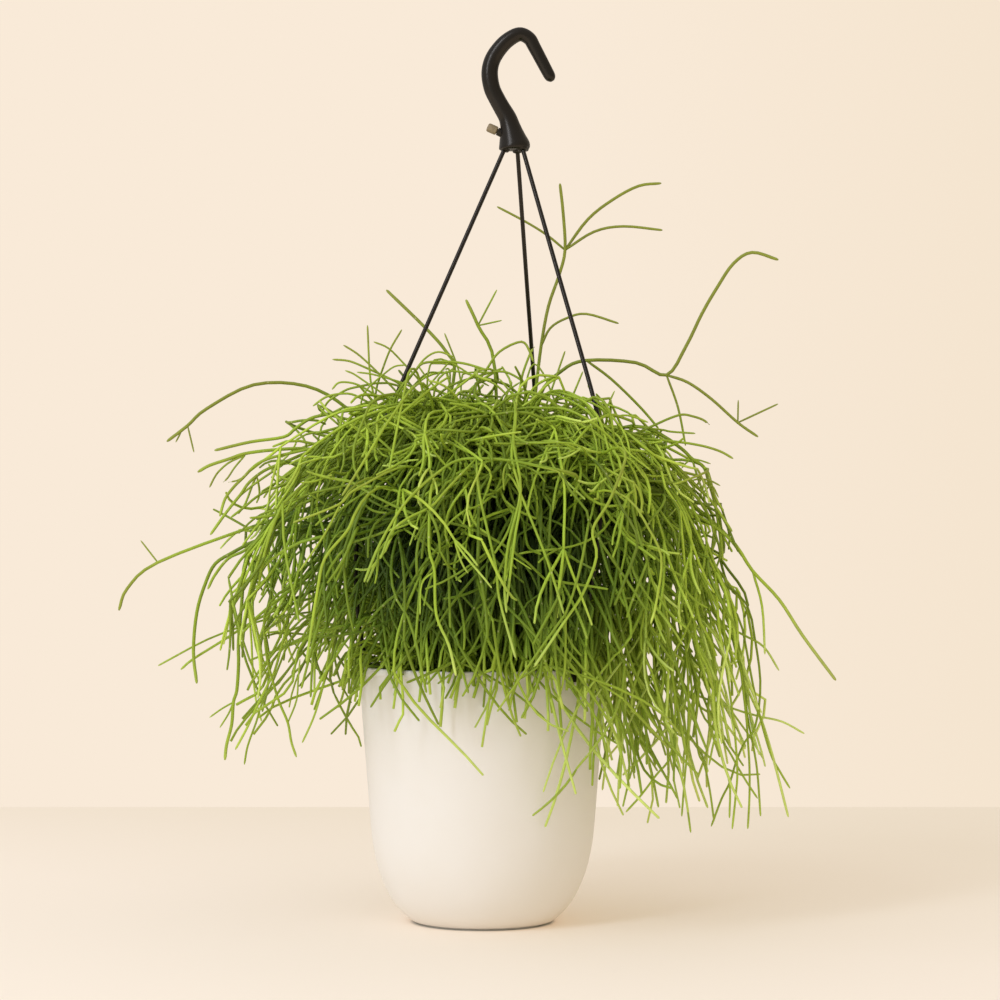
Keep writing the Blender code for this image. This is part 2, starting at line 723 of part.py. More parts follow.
def make_pin(mat):
    stations = (
        (-PIN_CAP_HALF, 0.0016),
        (-PIN_CAP_HALF + 0.0006, 0.0024),
        (-PIN_CAP_HALF + 0.0016, PIN_CAP_RADIUS),
        (PIN_CAP_HALF - 0.0006, PIN_CAP_RADIUS),
        (PIN_CAP_HALF, 0.0023),
    )
    points = [PIN_CAP_CENTRE + PIN_WAY * along for along, _ in stations]
    cap = tube("hanger_pin", points, [radius for _, radius in stations], HOOK_SIDES, 0.1, mat)
    ends = [PIN_CAP_CENTRE, PIN_CAP_CENTRE + PIN_WAY * PIN_END]
    shaft = tube("shaft", ends, [PIN_RADIUS, PIN_RADIUS], 8, 0.3)
    joined(cap, [shaft], "UNION", "MANIFOLD")
    cap.data.materials.clear()
    cap.data.materials.append(mat)
    return cap


def clip_body(name, azimuth):
    """A saddle over the pot's lip: an inner leg, a plate over the lip and an outer leg, straight across."""
    lip_radius = POT_WALL_TOP_RADIUS + LIP_PROUD
    inner = POT_WALL_TOP_RADIUS - POT_WALL - 2 * CLIP_GAP
    outer = lip_radius + CLIP_GAP
    low = POT_HEIGHT - CLIP_REACH
    plate = POT_HEIGHT + CLIP_GAP
    outline = (
        (inner - CLIP_THICKNESS, low),
        (inner, low),
        (inner, plate),
        (outer, plate),
        (outer, low),
        (outer + CLIP_THICKNESS, low),
        (outer + CLIP_THICKNESS, plate + CLIP_THICKNESS),
        (inner - CLIP_THICKNESS, plate + CLIP_THICKNESS),
    )
    bm = bmesh.new()
    verts = [bm.verts.new(sector_point(azimuth, r, -CLIP_WIDTH / 2, z)) for r, z in outline]
    face = bm.faces.new(verts)
    new = bmesh.ops.extrude_face_region(bm, geom=[face])
    moved = [item for item in new["geom"] if isinstance(item, bmesh.types.BMVert)]
    bmesh.ops.translate(bm, verts=moved, vec=sector_point(azimuth, 0.0, CLIP_WIDTH, 0.0))
    bmesh.ops.recalc_face_normals(bm, faces=bm.faces)
    return finished(bm, name)


def make_strand(name, azimuth, mat):
    """A strand from its socket, straight down to the foliage, then bowed inside it to its clip."""
    top, spread, way = strand_top(azimuth)
    points = [top + way * STRAND_IN_SOCKET, spread]
    for r, z in STRAND_BOW:
        points.append(leaned(sector_point(azimuth, r, 0.0, z)))
    strand = tube(f"hanger_strand_{name}", points, [STRAND_RADIUS] * len(points), STRAND_SIDES, 0.3)
    joined(strand, [clip_body(f"clip_{name}", azimuth)], "UNION", "MANIFOLD")
    strand.data.materials.clear()
    strand.data.materials.append(mat)
    return strand


def main():
    clear_scene()
    make_pot(material("cream_pot", CREAM, 0.45))
    make_potting_mix(material("potting_mix", PEAT, 0.95))
    make_sprays(material("stem_green", LEAF_GREEN, 0.45))
    black = material("black_plastic", BLACK, 0.38)
    make_hook(black)
    make_pin(material("tan_pin", TAN, 0.5))
    for name, azimuth in STRAND_AZIMUTHS.items():
        make_strand(name, azimuth, black)


main()
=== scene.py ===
"""Mistletoe cactus in a cream hanging pot, standing on its base with its black hanger above it."""

import math
import random

import bmesh
import bpy
import numpy as np
from mathutils import Matrix, Vector


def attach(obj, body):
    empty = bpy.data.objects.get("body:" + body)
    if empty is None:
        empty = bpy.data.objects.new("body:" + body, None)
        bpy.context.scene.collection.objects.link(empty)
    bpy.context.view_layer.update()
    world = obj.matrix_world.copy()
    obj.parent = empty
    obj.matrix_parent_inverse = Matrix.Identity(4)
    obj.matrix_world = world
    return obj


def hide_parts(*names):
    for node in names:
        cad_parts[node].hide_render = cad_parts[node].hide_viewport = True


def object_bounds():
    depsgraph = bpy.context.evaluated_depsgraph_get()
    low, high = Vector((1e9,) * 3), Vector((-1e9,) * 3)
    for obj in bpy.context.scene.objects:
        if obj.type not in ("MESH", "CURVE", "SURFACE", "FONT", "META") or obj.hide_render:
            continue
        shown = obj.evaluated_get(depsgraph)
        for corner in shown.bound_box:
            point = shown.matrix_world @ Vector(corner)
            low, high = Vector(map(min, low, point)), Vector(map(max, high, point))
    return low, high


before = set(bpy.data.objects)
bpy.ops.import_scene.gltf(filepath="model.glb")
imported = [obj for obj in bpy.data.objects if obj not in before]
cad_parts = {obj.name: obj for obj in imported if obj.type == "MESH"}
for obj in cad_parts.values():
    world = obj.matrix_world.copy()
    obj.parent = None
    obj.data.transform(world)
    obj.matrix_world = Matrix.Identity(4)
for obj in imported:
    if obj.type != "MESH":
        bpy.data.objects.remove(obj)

CAD_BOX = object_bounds()


# Camera: level, straight in front of the pot, a little above the middle of the foliage, with a
# long lens, as the photograph was taken.
camera_data = bpy.data.cameras.new("camera")
camera_data.lens = 108.0
camera_data.sensor_width = 36.0
camera = bpy.data.objects.new("camera", camera_data)
camera.location = (0.0104, -1.8, 0.2526)
camera.rotation_euler = (math.radians(90), 0.0, 0.0)
bpy.context.scene.collection.objects.link(camera)
bpy.context.scene.camera = camera
bpy.context.scene.view_settings.view_transform = "Standard"


# Studio: a matt cream painted board for a floor, whose far edge is the line behind the pot, and
# the same cream behind it. Soft light comes from all round, and a large lamp on the upper left
# gives the pot its darker right side and its wide soft shadow.
FLOOR_EDGE = 0.668
FLOOR_SIDE = 3.0
FLOOR_FRONT = -3.0
BOARD_CREAM = "#d6d5cb"
# Painted shade: the board's darker cream towards the back right, its way and how far along it the shade is
# full.
BOARD_CREAM_PAINTED_SHADE = "#cbcbbd"
BOARD_SHADE_WAY = (0.55, 0.80, 0.0)
BOARD_SHADE_AT = 0.50
# Painted fill light on the board: its warm glow, its strength, and the radii under the pot where it is left
# out as painted shade.
PAINTED_FILL_GLOW_WARM = "#f2c6a0"
PAINTED_FILL_GLOW = 0.30
UNDER_POT = (0.0410, 0.0440)
WALL_CREAM = "#f9ead8"
# Painted shade: the wall's darker cream on the right, and between which ways it turns.
WALL_CREAM_PAINTED_SHADE = "#f5e5d0"
WALL_SHADE_TURNS = (0.02, 0.16)
SKY_WARM = "#fff2de"
SKY_COOL = "#fcfbff"
SKY_FROM = -0.2
SKY_LOWEST = 0.78
SKY_HIGHEST = 1.06
SKY_BRIGHT_WAY = Vector((-0.60, -0.30, 0.74)).normalized()
SKY_IN_REFLECTIONS = 0.55
LAMP_PLACE = Vector((-1.60, -1.90, 1.80))
LAMP_TARGET = Vector((0.0, 0.0, 0.18))
LAMP_WIDTH = 0.50
LAMP_LENGTH = 2.2
LAMP_WATTS = 35.0
LAMP_COOL = "#dde9ff"


def linear(hexed):
    """An sRGB hex colour as linear red, green, blue and alpha."""
    out = []
    for i in (1, 3, 5):
        share = int(hexed[i:i + 2], 16) / 255
        out.append(share / 12.92 if share <= 0.04045 else ((share + 0.055) / 1.055) ** 2.4)
    return (*out, 1.0)


def add_node(tree, kind, settings, sockets):
    """Adds a node with its settings; each socket gets a value or another node's output."""
    made = tree.nodes.new(kind)
    for name, value in settings.items():
        setattr(made, name, value)
    for name, value in sockets.items():
        if isinstance(value, bpy.types.NodeSocket):
            tree.links.new(value, made.inputs[name])
        else:
            made.inputs[name].default_value = value
    return made


def plain_finish(name, hexed, roughness):
    """A new material with its shader's colour and roughness set, its node tree and its shader."""
    made = bpy.data.materials.new(name)
    made.use_nodes = True
    shader = made.node_tree.nodes["Principled BSDF"]
    shader.inputs["Base Color"].default_value = linear(hexed)
    shader.inputs["Roughness"].default_value = roughness
    return made, made.node_tree, shader


def piece_of(bm, name, finish):
    """The bmesh as an object at the origin, smooth, with its material."""
    mesh = bpy.data.meshes.new(name)
    bm.to_mesh(mesh)
    bm.free()
    mesh.shade_smooth()
    mesh.materials.append(finish)
    made = bpy.data.objects.new(name, mesh)
    bpy.context.scene.collection.objects.link(made)
    return made


# Matt emulsion on board. Its glow is painted fill light: it glows a little where the light between pot and
# board would fill the shadow, but not under the pot, which is left dark as painted shade; and painted shade
# makes it a shade darker at its far right.
board_with_painted_light, tree, shader = plain_finish("matt_board_with_painted_fill_and_shade", BOARD_CREAM, 0.72)
# Painted fill light: the board glows warm, except under the pot.
shader.inputs["Emission Color"].default_value = linear(PAINTED_FILL_GLOW_WARM)
where = add_node(tree, "ShaderNodeTexCoord", {}, {}).outputs["Object"]
from_pot = add_node(tree, "ShaderNodeVectorMath", {"operation": "LENGTH"}, {0: where})
painted_fill_glow = add_node(
    tree, "ShaderNodeMapRange", {},
    {"Value": from_pot.outputs["Value"], "From Min": UNDER_POT[0], "From Max": UNDER_POT[1],
     "To Max": PAINTED_FILL_GLOW},
)
# Painted shade: the board's colour gets darker towards the back right.
board_toward_shade = add_node(
    tree, "ShaderNodeVectorMath", {"operation": "DOT_PRODUCT"}, {0: where, 1: BOARD_SHADE_WAY}
)
board_shade_share = add_node(
    tree, "ShaderNodeMapRange", {}, {"Value": board_toward_shade.outputs["Value"], "From Max": BOARD_SHADE_AT}
)
board_with_shade = add_node(
    tree, "ShaderNodeMix", {"data_type": "RGBA"},
    {0: board_shade_share.outputs[0], 6: linear(BOARD_CREAM), 7: linear(BOARD_CREAM_PAINTED_SHADE)},
)
tree.links.new(board_with_shade.outputs[2], shader.inputs["Base Color"])
tree.links.new(painted_fill_glow.outputs[0], shader.inputs["Emission Strength"])
bm = bmesh.new()
bmesh.ops.create_grid(bm, x_segments=1, y_segments=1, size=1.0)
bmesh.ops.scale(bm, verts=bm.verts, vec=(FLOOR_SIDE, (FLOOR_EDGE - FLOOR_FRONT) / 2, 1.0))
bmesh.ops.translate(bm, verts=bm.verts, vec=(0.0, (FLOOR_EDGE + FLOOR_FRONT) / 2, 0.0))
floor = piece_of(bm, "floor", board_with_painted_light)

# The sky lights the object warm from below and cool from the bright side; the camera sees the cream wall
# instead, with painted shade that makes it a little darker to the right.
world = bpy.data.worlds.new("studio")
world.use_nodes = True
bpy.context.scene.world = world
tree = world.node_tree
tree.nodes.clear()
seen = add_node(tree, "ShaderNodeLightPath", {}, {})
towards = add_node(tree, "ShaderNodeTexCoord", {}, {}).outputs["Generated"]
facing = add_node(tree, "ShaderNodeVectorMath", {"operation": "DOT_PRODUCT"}, {0: towards, 1: SKY_BRIGHT_WAY})
glow = add_node(
    tree, "ShaderNodeMapRange", {},
    {"Value": facing.outputs["Value"], "From Min": SKY_FROM, "To Min": SKY_LOWEST, "To Max": SKY_HIGHEST},
)
height = add_node(tree, "ShaderNodeMapRange", {}, {"Value": facing.outputs["Value"], "From Min": SKY_FROM})
tint = add_node(
    tree, "ShaderNodeMix", {"data_type": "RGBA"},
    {0: height.outputs[0], 6: linear(SKY_WARM), 7: linear(SKY_COOL)},
)
mirrored = add_node(
    tree, "ShaderNodeMapRange", {},
    {"Value": seen.outputs["Is Glossy Ray"], "To Min": 1.0, "To Max": SKY_IN_REFLECTIONS},
)
bright = add_node(
    tree, "ShaderNodeMath", {"operation": "MULTIPLY"}, {0: glow.outputs[0], 1: mirrored.outputs[0]}
)
soft = add_node(tree, "ShaderNodeBackground", {}, {"Color": tint.outputs[2], "Strength": bright.outputs[0]})
aside = add_node(tree, "ShaderNodeSeparateXYZ", {}, {"Vector": towards})
# Painted shade: the wall's cream darkens towards the right.
wall_shade_share = add_node(
    tree, "ShaderNodeMapRange", {},
    {"Value": aside.outputs["X"], "From Min": WALL_SHADE_TURNS[0], "From Max": WALL_SHADE_TURNS[1]},
)
wall_with_painted_shade = add_node(
    tree, "ShaderNodeMix", {"data_type": "RGBA"},
    {0: wall_shade_share.outputs[0], 6: linear(WALL_CREAM), 7: linear(WALL_CREAM_PAINTED_SHADE)},
)
wall = add_node(tree, "ShaderNodeBackground", {}, {"Color": wall_with_painted_shade.outputs[2], "Strength": 1.0})
both = add_node(
    tree, "ShaderNodeMixShader", {},
    {0: seen.outputs["Is Camera Ray"], 1: soft.outputs[0], 2: wall.outputs[0]},
)
add_node(tree, "ShaderNodeOutputWorld", {}, {"Surface": both.outputs[0]})

lamp_data = bpy.data.lights.new("lamp", "AREA")
lamp_data.shape = "RECTANGLE"
lamp_data.size = LAMP_WIDTH
lamp_data.size_y = LAMP_LENGTH
lamp_data.energy = LAMP_WATTS
lamp_data.color = linear(LAMP_COOL)[:3]
lamp = bpy.data.objects.new("lamp", lamp_data)
lamp.location = LAMP_PLACE
lamp.rotation_euler = (LAMP_TARGET - LAMP_PLACE).to_track_quat("-Z", "Y").to_euler()
bpy.context.scene.collection.objects.link(lamp)


# Pot: one injection-moulded cup of cream polypropylene, a straight flared wall on a rounded
# shoulder, with a small lip that the clips hold on to. It stands on its flat base.
POT_HEIGHT = 0.1536
POT_BASE_RADIUS = 0.0425
POT_BEND_RADIUS = 0.0670
POT_BEND_HEIGHT = 0.0580
POT_WALL_TOP_RADIUS = 0.0742
BASE_HANDLE = (0.0130, 0.0085)
BEND_HANDLE = 0.0023
INSIDE_BASE_SHARE = 0.6
POT_WALL = 0.0030
POT_FLOOR = 0.0035
LIP_HEIGHT = 0.0043
LIP_PROUD = 0.0008
LIP_ROUNDING = 0.0007
FOOT_ROUNDING = 0.0003
FOOT_INSET = 0.0040
FOOT_HEIGHT = 0.0013
POT_SIDES = 128
SHOULDER_STEPS = 24
SHARP_FROM = math.radians(50)
PEEL_MM = 1.538
CLOUDS_MM = 38.46
POT_CREAM = "#ece8e0"
POT_CREAM_WARM = "#e8e2d6"


def bowed(ends, steps):
    """A cubic curve's rows from its four rows of ends and handles."""
    p = np.array(ends, float)
    t = np.linspace(0, 1, steps + 1)[:, None]
    return (1 - t)**3 * p[0] + 3 * (1 - t)**2 * t * p[1] + 3 * (1 - t) * t * t * p[2] + t**3 * p[3]


def shoulder(inset, base):
    """(radius, height) points of the pot's side, moved inwards by inset, up to under its lip."""
    ends = (
        (POT_BASE_RADIUS - inset * INSIDE_BASE_SHARE, base),
        (POT_BASE_RADIUS + BASE_HANDLE[0] - inset, base + BASE_HANDLE[1]),
        (POT_BEND_RADIUS - BEND_HANDLE - inset, POT_BEND_HEIGHT / 2 + base / 2),
        (POT_BEND_RADIUS - inset, POT_BEND_HEIGHT),
    )
    side = [tuple(point) for point in bowed(ends, SHOULDER_STEPS)]
    return side + [(POT_WALL_TOP_RADIUS - inset, POT_HEIGHT - LIP_HEIGHT)]


def spun(bm, profile, sides):
    """Spins a closed (radius, height) profile round Z into a solid that faces outwards."""
    verts = [bm.verts.new((r, 0.0, z)) for r, z in profile]
    edges = [bm.edges.new(pair) for pair in zip(verts, verts[1:])]
    around = {"cent": (0, 0, 0), "axis": (0, 0, 1), "angle": 2 * math.pi, "steps": sides}
    bmesh.ops.spin(bm, geom=verts + edges, use_merge=True, **around)
    bmesh.ops.remove_doubles(bm, verts=bm.verts, dist=1e-6)
    bmesh.ops.recalc_face_normals(bm, faces=bm.faces)


def rings_at(bm, places):
    """The edges that run round Z at the given (radius, height) places."""
    found = []
    for edge in bm.edges:
        a, b = edge.verts
        for r, z in places:
            if all(abs(math.hypot(v.co.x, v.co.y) - r) < 1e-5 and abs(v.co.z - z) < 1e-5 for v in (a, b)):
                found.append(edge)
    return found


lip_radius = POT_WALL_TOP_RADIUS + LIP_PROUD
lip_bottom = POT_HEIGHT - LIP_HEIGHT
inner_radius = POT_WALL_TOP_RADIUS - POT_WALL
lip = [(lip_radius, lip_bottom), (lip_radius, POT_HEIGHT), (inner_radius, POT_HEIGHT)]
inside = list(reversed(shoulder(POT_WALL, POT_FLOOR)))
bm = bmesh.new()
foot_radius = POT_BASE_RADIUS - FOOT_INSET
foot = [(0.0, 0.0), (foot_radius, 0.0), (foot_radius, FOOT_HEIGHT)]
spun(bm, foot + shoulder(0.0, FOOT_HEIGHT) + lip + inside + [(0.0, POT_FLOOR)], POT_SIDES)
round_off = {"affect": "EDGES", "profile": 0.5, "material": -1}
bmesh.ops.bevel(bm, geom=rings_at(bm, lip[1:]), offset=LIP_ROUNDING, segments=3, **round_off)
small_edges = rings_at(bm, [(POT_BASE_RADIUS, FOOT_HEIGHT), lip[0]])
bmesh.ops.bevel(bm, geom=small_edges, offset=FOOT_ROUNDING, segments=2, **round_off)

# Polypropylene straight from a fine-etched mould: an even satin cream, a trace of orange peel
# about 1.5 mm across, and the faint clouding, some 40 mm across, that thick pigment leaves.
# Places are in metres, so a pattern of one millimetre has the scale 1000.
pot_plastic, tree, shader = plain_finish("moulded_cream_polypropylene", POT_CREAM, 0.46)
shader.inputs["Specular IOR Level"].default_value = 0.42
where = add_node(tree, "ShaderNodeTexCoord", {}, {}).outputs["Object"]
clouds = add_node(tree, "ShaderNodeTexNoise", {}, {"Vector": where, "Scale": 1000 / CLOUDS_MM, "Detail": 3.0})
clouded = add_node(
    tree, "ShaderNodeMix", {"data_type": "RGBA"},
    {0: clouds.outputs[0], 6: linear(POT_CREAM), 7: linear(POT_CREAM_WARM)},
)
peel = add_node(tree, "ShaderNodeTexNoise", {}, {"Vector": where, "Scale": 1000 / PEEL_MM, "Detail": 2.0})
etched = add_node(tree, "ShaderNodeMapRange", {}, {"Value": peel.outputs[0], "To Min": 0.40, "To Max": 0.52})
dents = add_node(
    tree, "ShaderNodeBump", {}, {"Height": peel.outputs[0], "Strength": 0.10, "Distance": 0.0002}
)
tree.links.new(clouded.outputs[2], shader.inputs["Base Color"])
tree.links.new(etched.outputs[0], shader.inputs["Roughness"])
tree.links.new(dents.outputs[0], shader.inputs["Normal"])
pot = piece_of(bm, "pot_cup", pot_plastic)
pot.data.set_sharp_from_angle(angle=SHARP_FROM)
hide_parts("pot")
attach(pot, "root")


# Potting mix: damp peat and bark fines pressed into the pot, with the stems' roots standing in it.
# Its solid stays as it is; loose crumbs of peat and a few white grains of perlite lie on top.
MIX_TOP = 0.1430
MIX_CROWN = 0.0020
MIX_RADIUS = 0.0680
ROOT_RING_RADIUS = 0.0400
ROOT_RADIUS = 0.0050
SECTORS = 15
SECTOR_ANGLE = 2 * math.pi / SECTORS
FIRST_AZIMUTH = math.radians(-74.4) + SECTOR_ANGLE / 2
CRUMBS = 700
CRUMB_RADII = (0.0009, 0.0024)
PERLITE_GRAINS = 58
PERLITE_RADII = (0.0008, 0.0017)
SUNK_SHARE = 0.25
UNEVEN_SHARE = 0.25
CRUMBLE_MM = 2.083
PEAT_BROWN = "#2b1d12"
PEAT_DARK = "#140d08"
BARK_BROWN = "#4a3422"
PERLITE_WHITE = "#cfc8ba"
PERLITE_GREY = "#9d968a"


def sector_azimuth(k):
    """The middle of a sector; an azimuth counts from the front of the pot to the right."""
    return FIRST_AZIMUTH + k * SECTOR_ANGLE


# Where the woody roots of the sprays stand, and the one in the middle.
root_places = [
    (ROOT_RING_RADIUS * math.sin(azimuth), -ROOT_RING_RADIUS * math.cos(azimuth))
    for azimuth in map(sector_azimuth, range(SECTORS))
] + [(0.0, 0.0)]


def crumb_finish(name, light, dark):
    """Dull crumbly earth, in grains about 2 mm across."""
    finish, tree, shader = plain_finish(name, dark, 0.95)
    shader.inputs["Specular IOR Level"].default_value = 0.2
    where = add_node(tree, "ShaderNodeTexCoord", {}, {}).outputs["Object"]
    grains = add_node(tree, "ShaderNodeTexVoronoi", {}, {"Vector": where, "Scale": 1000 / CRUMBLE_MM})
    crumbly = add_node(
        tree, "ShaderNodeMix", {"data_type": "RGBA"},
        {0: grains.outputs["Distance"], 6: linear(light), 7: linear(dark)},
    )
    rough = add_node(
        tree, "ShaderNodeBump", {},
        {"Height": grains.outputs["Distance"], "Strength": 0.8, "Distance": 0.0012},
    )
    tree.links.new(crumbly.outputs[2], shader.inputs["Base Color"])
    tree.links.new(rough.outputs[0], shader.inputs["Normal"])
    return finish


def crumbs_on_mix(name, count, sizes, seed, finish):
    """Small uneven lumps that lie on the potting mix, clear of the roots."""
    rng = random.Random(seed)
    bm = bmesh.new()
    while count:
        r = MIX_RADIUS * math.sqrt(rng.random())
        angle = rng.uniform(0, 2 * math.pi)
        x, y = r * math.sin(angle), -r * math.cos(angle)
        size = rng.uniform(*sizes)
        if min(math.hypot(x - a, y - b) for a, b in root_places) < ROOT_RADIUS + size:
            continue
        height = MIX_TOP + MIX_CROWN * (1 - r / MIX_RADIUS) + size * SUNK_SHARE
        turn = Matrix.Rotation(rng.uniform(0, math.pi), 4, Vector((rng.random(), rng.random(), 1.0)))
        flat = Matrix.Diagonal((1.0, rng.uniform(0.6, 0.9), rng.uniform(0.45, 0.8), 1.0))
        spot = Matrix.Translation((x, y, height)) @ turn @ flat
        bmesh.ops.create_icosphere(bm, subdivisions=1, radius=size, matrix=spot)
        count -= 1
    for vert in bm.verts:
        vert.co += Vector([rng.uniform(-1, 1) for _ in range(3)]) * sizes[0] * UNEVEN_SHARE
    return piece_of(bm, name, finish)


peat = crumb_finish("damp_peat_and_bark_fines", PEAT_BROWN, PEAT_DARK)
mix_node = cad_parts["potting_mix"]
mix_node.data.materials.clear()
mix_node.data.materials.append(peat)
bark = crumb_finish("loose_bark", BARK_BROWN, PEAT_DARK)
loose = crumbs_on_mix("peat_crumbs", CRUMBS, CRUMB_RADII, 5, bark)
white = crumb_finish("perlite", PERLITE_WHITE, PERLITE_GREY)
perlite = crumbs_on_mix("perlite_grains", PERLITE_GRAINS, PERLITE_RADII, 6, white)
for crumbs in (loose, perlite):
    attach(crumbs, "root")


# Hanger hook: one moulded hook of black polypropylene, round-nosed, that swells to a bell with a
# socket for each strand and a short collar on its left for the pin. Its path gives x, z and radius.
HOOK_LEVEL = 8
HOOK_STEPS = 6
BAR_LEVEL = 5
HOOK_PATH = (
    (0.0193, 0.4626, 0.0076), (0.0193, 0.4629, 0.0086), (0.0192, 0.4640, 0.0093),
    (0.0189, 0.4658, 0.0093), (0.0182, 0.4690, 0.0083), (0.0175, 0.4725, 0.0072),
    (0.0166, 0.4766, 0.0061), (0.0149, 0.4820, 0.0054), (0.0116, 0.4878, 0.0051),
    (0.0087, 0.4930, 0.0050), (0.0056, 0.4996, 0.0050), (0.0042, 0.5080, 0.0050),
    (0.0053, 0.5152, 0.0049), (0.0087, 0.5216, 0.0048), (0.0145, 0.5280, 0.0046),
    (0.0219, 0.5320, 0.0043), (0.0278, 0.5296, 0.0041), (0.0312, 0.5240, 0.0039),
    (0.0382, 0.5108, 0.0036), (0.0403, 0.5069, 0.0034), (0.0413, 0.5051, 0.0026),
    (0.0419, 0.5040, 0.0012),
)
BELL_BOTTOM = Vector((0.0193, 0.0, 0.4626))
STRAND_AZIMUTHS = {"left": math.radians(-74.4), "right": math.radians(45.6), "back": math.radians(165.6)}
STRAND_CIRCLE_TOP = 0.0066
STRAND_SPREAD = 0.0700
STRAND_SPREAD_HEIGHT = 0.3120
SOCKET_STATIONS = ((-0.0040, 0.0017), (0.0060, 0.0017))
BOSS_STATIONS = ((-0.0009, 0.0022), (-0.0006, 0.0028), (0.0002, 0.0031), (0.0030, 0.0030), (0.0070, 0.0016))
PIN_CAP_CENTRE = Vector((0.0057, 0.0, 0.4752))
PIN_WAY = Vector((0.914, 0.0, -0.407)).normalized()
COLLAR_STATIONS = ((0.0035, 0.0024), (0.0100, 0.00276))
LEAN_START = 0.1550
LEAN_RATE = 0.0955
PATCHES_MM = 10.0
GRAIN_MM = 0.7143
BLACK = "#0c0b09"
BLACK_WORN = "#151310"
SHEEN_WARM = "#fff0dc"


def through(points, steps):
    """Rows on a smooth line through the given rows, with steps to each span."""
    given = np.array(points, float)
    padded = np.vstack([2 * given[0] - given[1], given, 2 * given[-1] - given[-2]])
    t = np.linspace(0, 1, steps, endpoint=False)[:, None]
    out = []
    for a, b, c, d in zip(padded, padded[1:], padded[2:], padded[3:]):
        bend = (2 * a - 5 * b + 4 * c - d) * t**2 + (3 * b - 3 * c + d - a) * t**3
        out.append(0.5 * (2 * b + (c - a) * t + bend))
    return np.vstack(out + [given[-1:]])


def round_bars(name, bars, level, marks=()):
    """Round bars, each (points, radii), as one bmesh with closed ends; marks are values for each point."""
    curve = bpy.data.curves.new(name, "CURVE")
    curve.dimensions = "3D"
    curve.bevel_depth = 1.0
    curve.bevel_resolution = level
    for points, radii in bars:
        spline = curve.splines.new("POLY")
        spline.points.add(len(points) - 1)
        spline.points.foreach_set("co", np.column_stack([points, np.ones(len(points))]).ravel())
        spline.points.foreach_set("radius", np.array(radii, float))
    line = bpy.data.objects.new(name, curve)
    bpy.context.scene.collection.objects.link(line)
    graph = bpy.context.evaluated_depsgraph_get()
    mesh = bpy.data.meshes.new_from_object(line.evaluated_get(graph))
    bpy.data.objects.remove(line)
    for mark, values in marks:
        each = np.repeat(values, len(mesh.vertices) // len(values))
        mesh.attributes.new(mark, "FLOAT", "POINT").data.foreach_set("value", each)
    bm = bmesh.new()
    bm.from_mesh(mesh)
    bpy.data.meshes.remove(mesh)
    for layer in list(bm.loops.layers.uv.values()):
        bm.loops.layers.uv.remove(layer)
    bmesh.ops.holes_fill(bm, edges=[edge for edge in bm.edges if edge.is_boundary], sides=2 * level + 4)
    bmesh.ops.recalc_face_normals(bm, faces=bm.faces)
    return bm


def bar_along(start, way, stations):
    """A straight bar's places and radii, from its (distance along, radius) stations."""
    return np.array([start + way * along for along, _ in stations]), [radius for _, radius in stations]


def outwards(azimuth):
    """The level way out from the pot's axis at an azimuth."""
    return Vector((math.sin(azimuth), -math.cos(azimuth), 0.0))


def lean(z):
    """How far the crown and the hanger stand to the right of the pot's axis at a height."""
    return LEAN_RATE * (z - LEAN_START)


def strand_top(azimuth):
    """Where a strand leaves the bell, where it meets the foliage, and the way between them."""
    out = outwards(azimuth)
    top = BELL_BOTTOM + out * STRAND_CIRCLE_TOP
    spread = Vector((lean(STRAND_SPREAD_HEIGHT), 0.0, STRAND_SPREAD_HEIGHT)) + out * STRAND_SPREAD
    return top, spread, (top - spread).normalized()


def joined(target, others, operation):
    """Joins the other pieces to the target, or cuts them out of it, and removes them."""
    for other in others:
        change = target.modifiers.new("change", "BOOLEAN")
        change.operation = operation
        change.object = other
        change.solver = "MANIFOLD"
    graph = bpy.context.evaluated_depsgraph_get()
    mesh = bpy.data.meshes.new_from_object(target.evaluated_get(graph))
    target.modifiers.clear()
    target.data = mesh
    for other in others:
        bpy.data.objects.remove(other)


# Glossy black polypropylene: nearly black with a soft sheen, worn a little greyer in patches
# about 10 mm across, with the fine grain of the mould, drawn 0.7 mm coarse so that it shows.
black_plastic, tree, shader = plain_finish("moulded_black_polypropylene", BLACK, 0.36)
shader.inputs["Specular IOR Level"].default_value = 0.42
shader.inputs["Specular Tint"].default_value = linear(SHEEN_WARM)
where = add_node(tree, "ShaderNodeTexCoord", {}, {}).outputs["Object"]
patches = add_node(tree, "ShaderNodeTexNoise", {},
                   {"Vector": where, "Scale": 1000 / PATCHES_MM, "Detail": 3.0})
worn = add_node(
    tree, "ShaderNodeMix", {"data_type": "RGBA"},
    {0: patches.outputs[0], 6: linear(BLACK), 7: linear(BLACK_WORN)},
)
grain = add_node(tree, "ShaderNodeTexNoise", {}, {"Vector": where, "Scale": 1000 / GRAIN_MM, "Detail": 2.0})
sheen = add_node(
    tree, "ShaderNodeMapRange", {}, {"Value": patches.outputs[0], "To Min": 0.24, "To Max": 0.34}
)
pits = add_node(
    tree, "ShaderNodeBump", {}, {"Height": grain.outputs[0], "Strength": 0.12, "Distance": 0.0002}
)
tree.links.new(worn.outputs[2], shader.inputs["Base Color"])
tree.links.new(sheen.outputs[0], shader.inputs["Roughness"])
tree.links.new(pits.outputs[0], shader.inputs["Normal"])

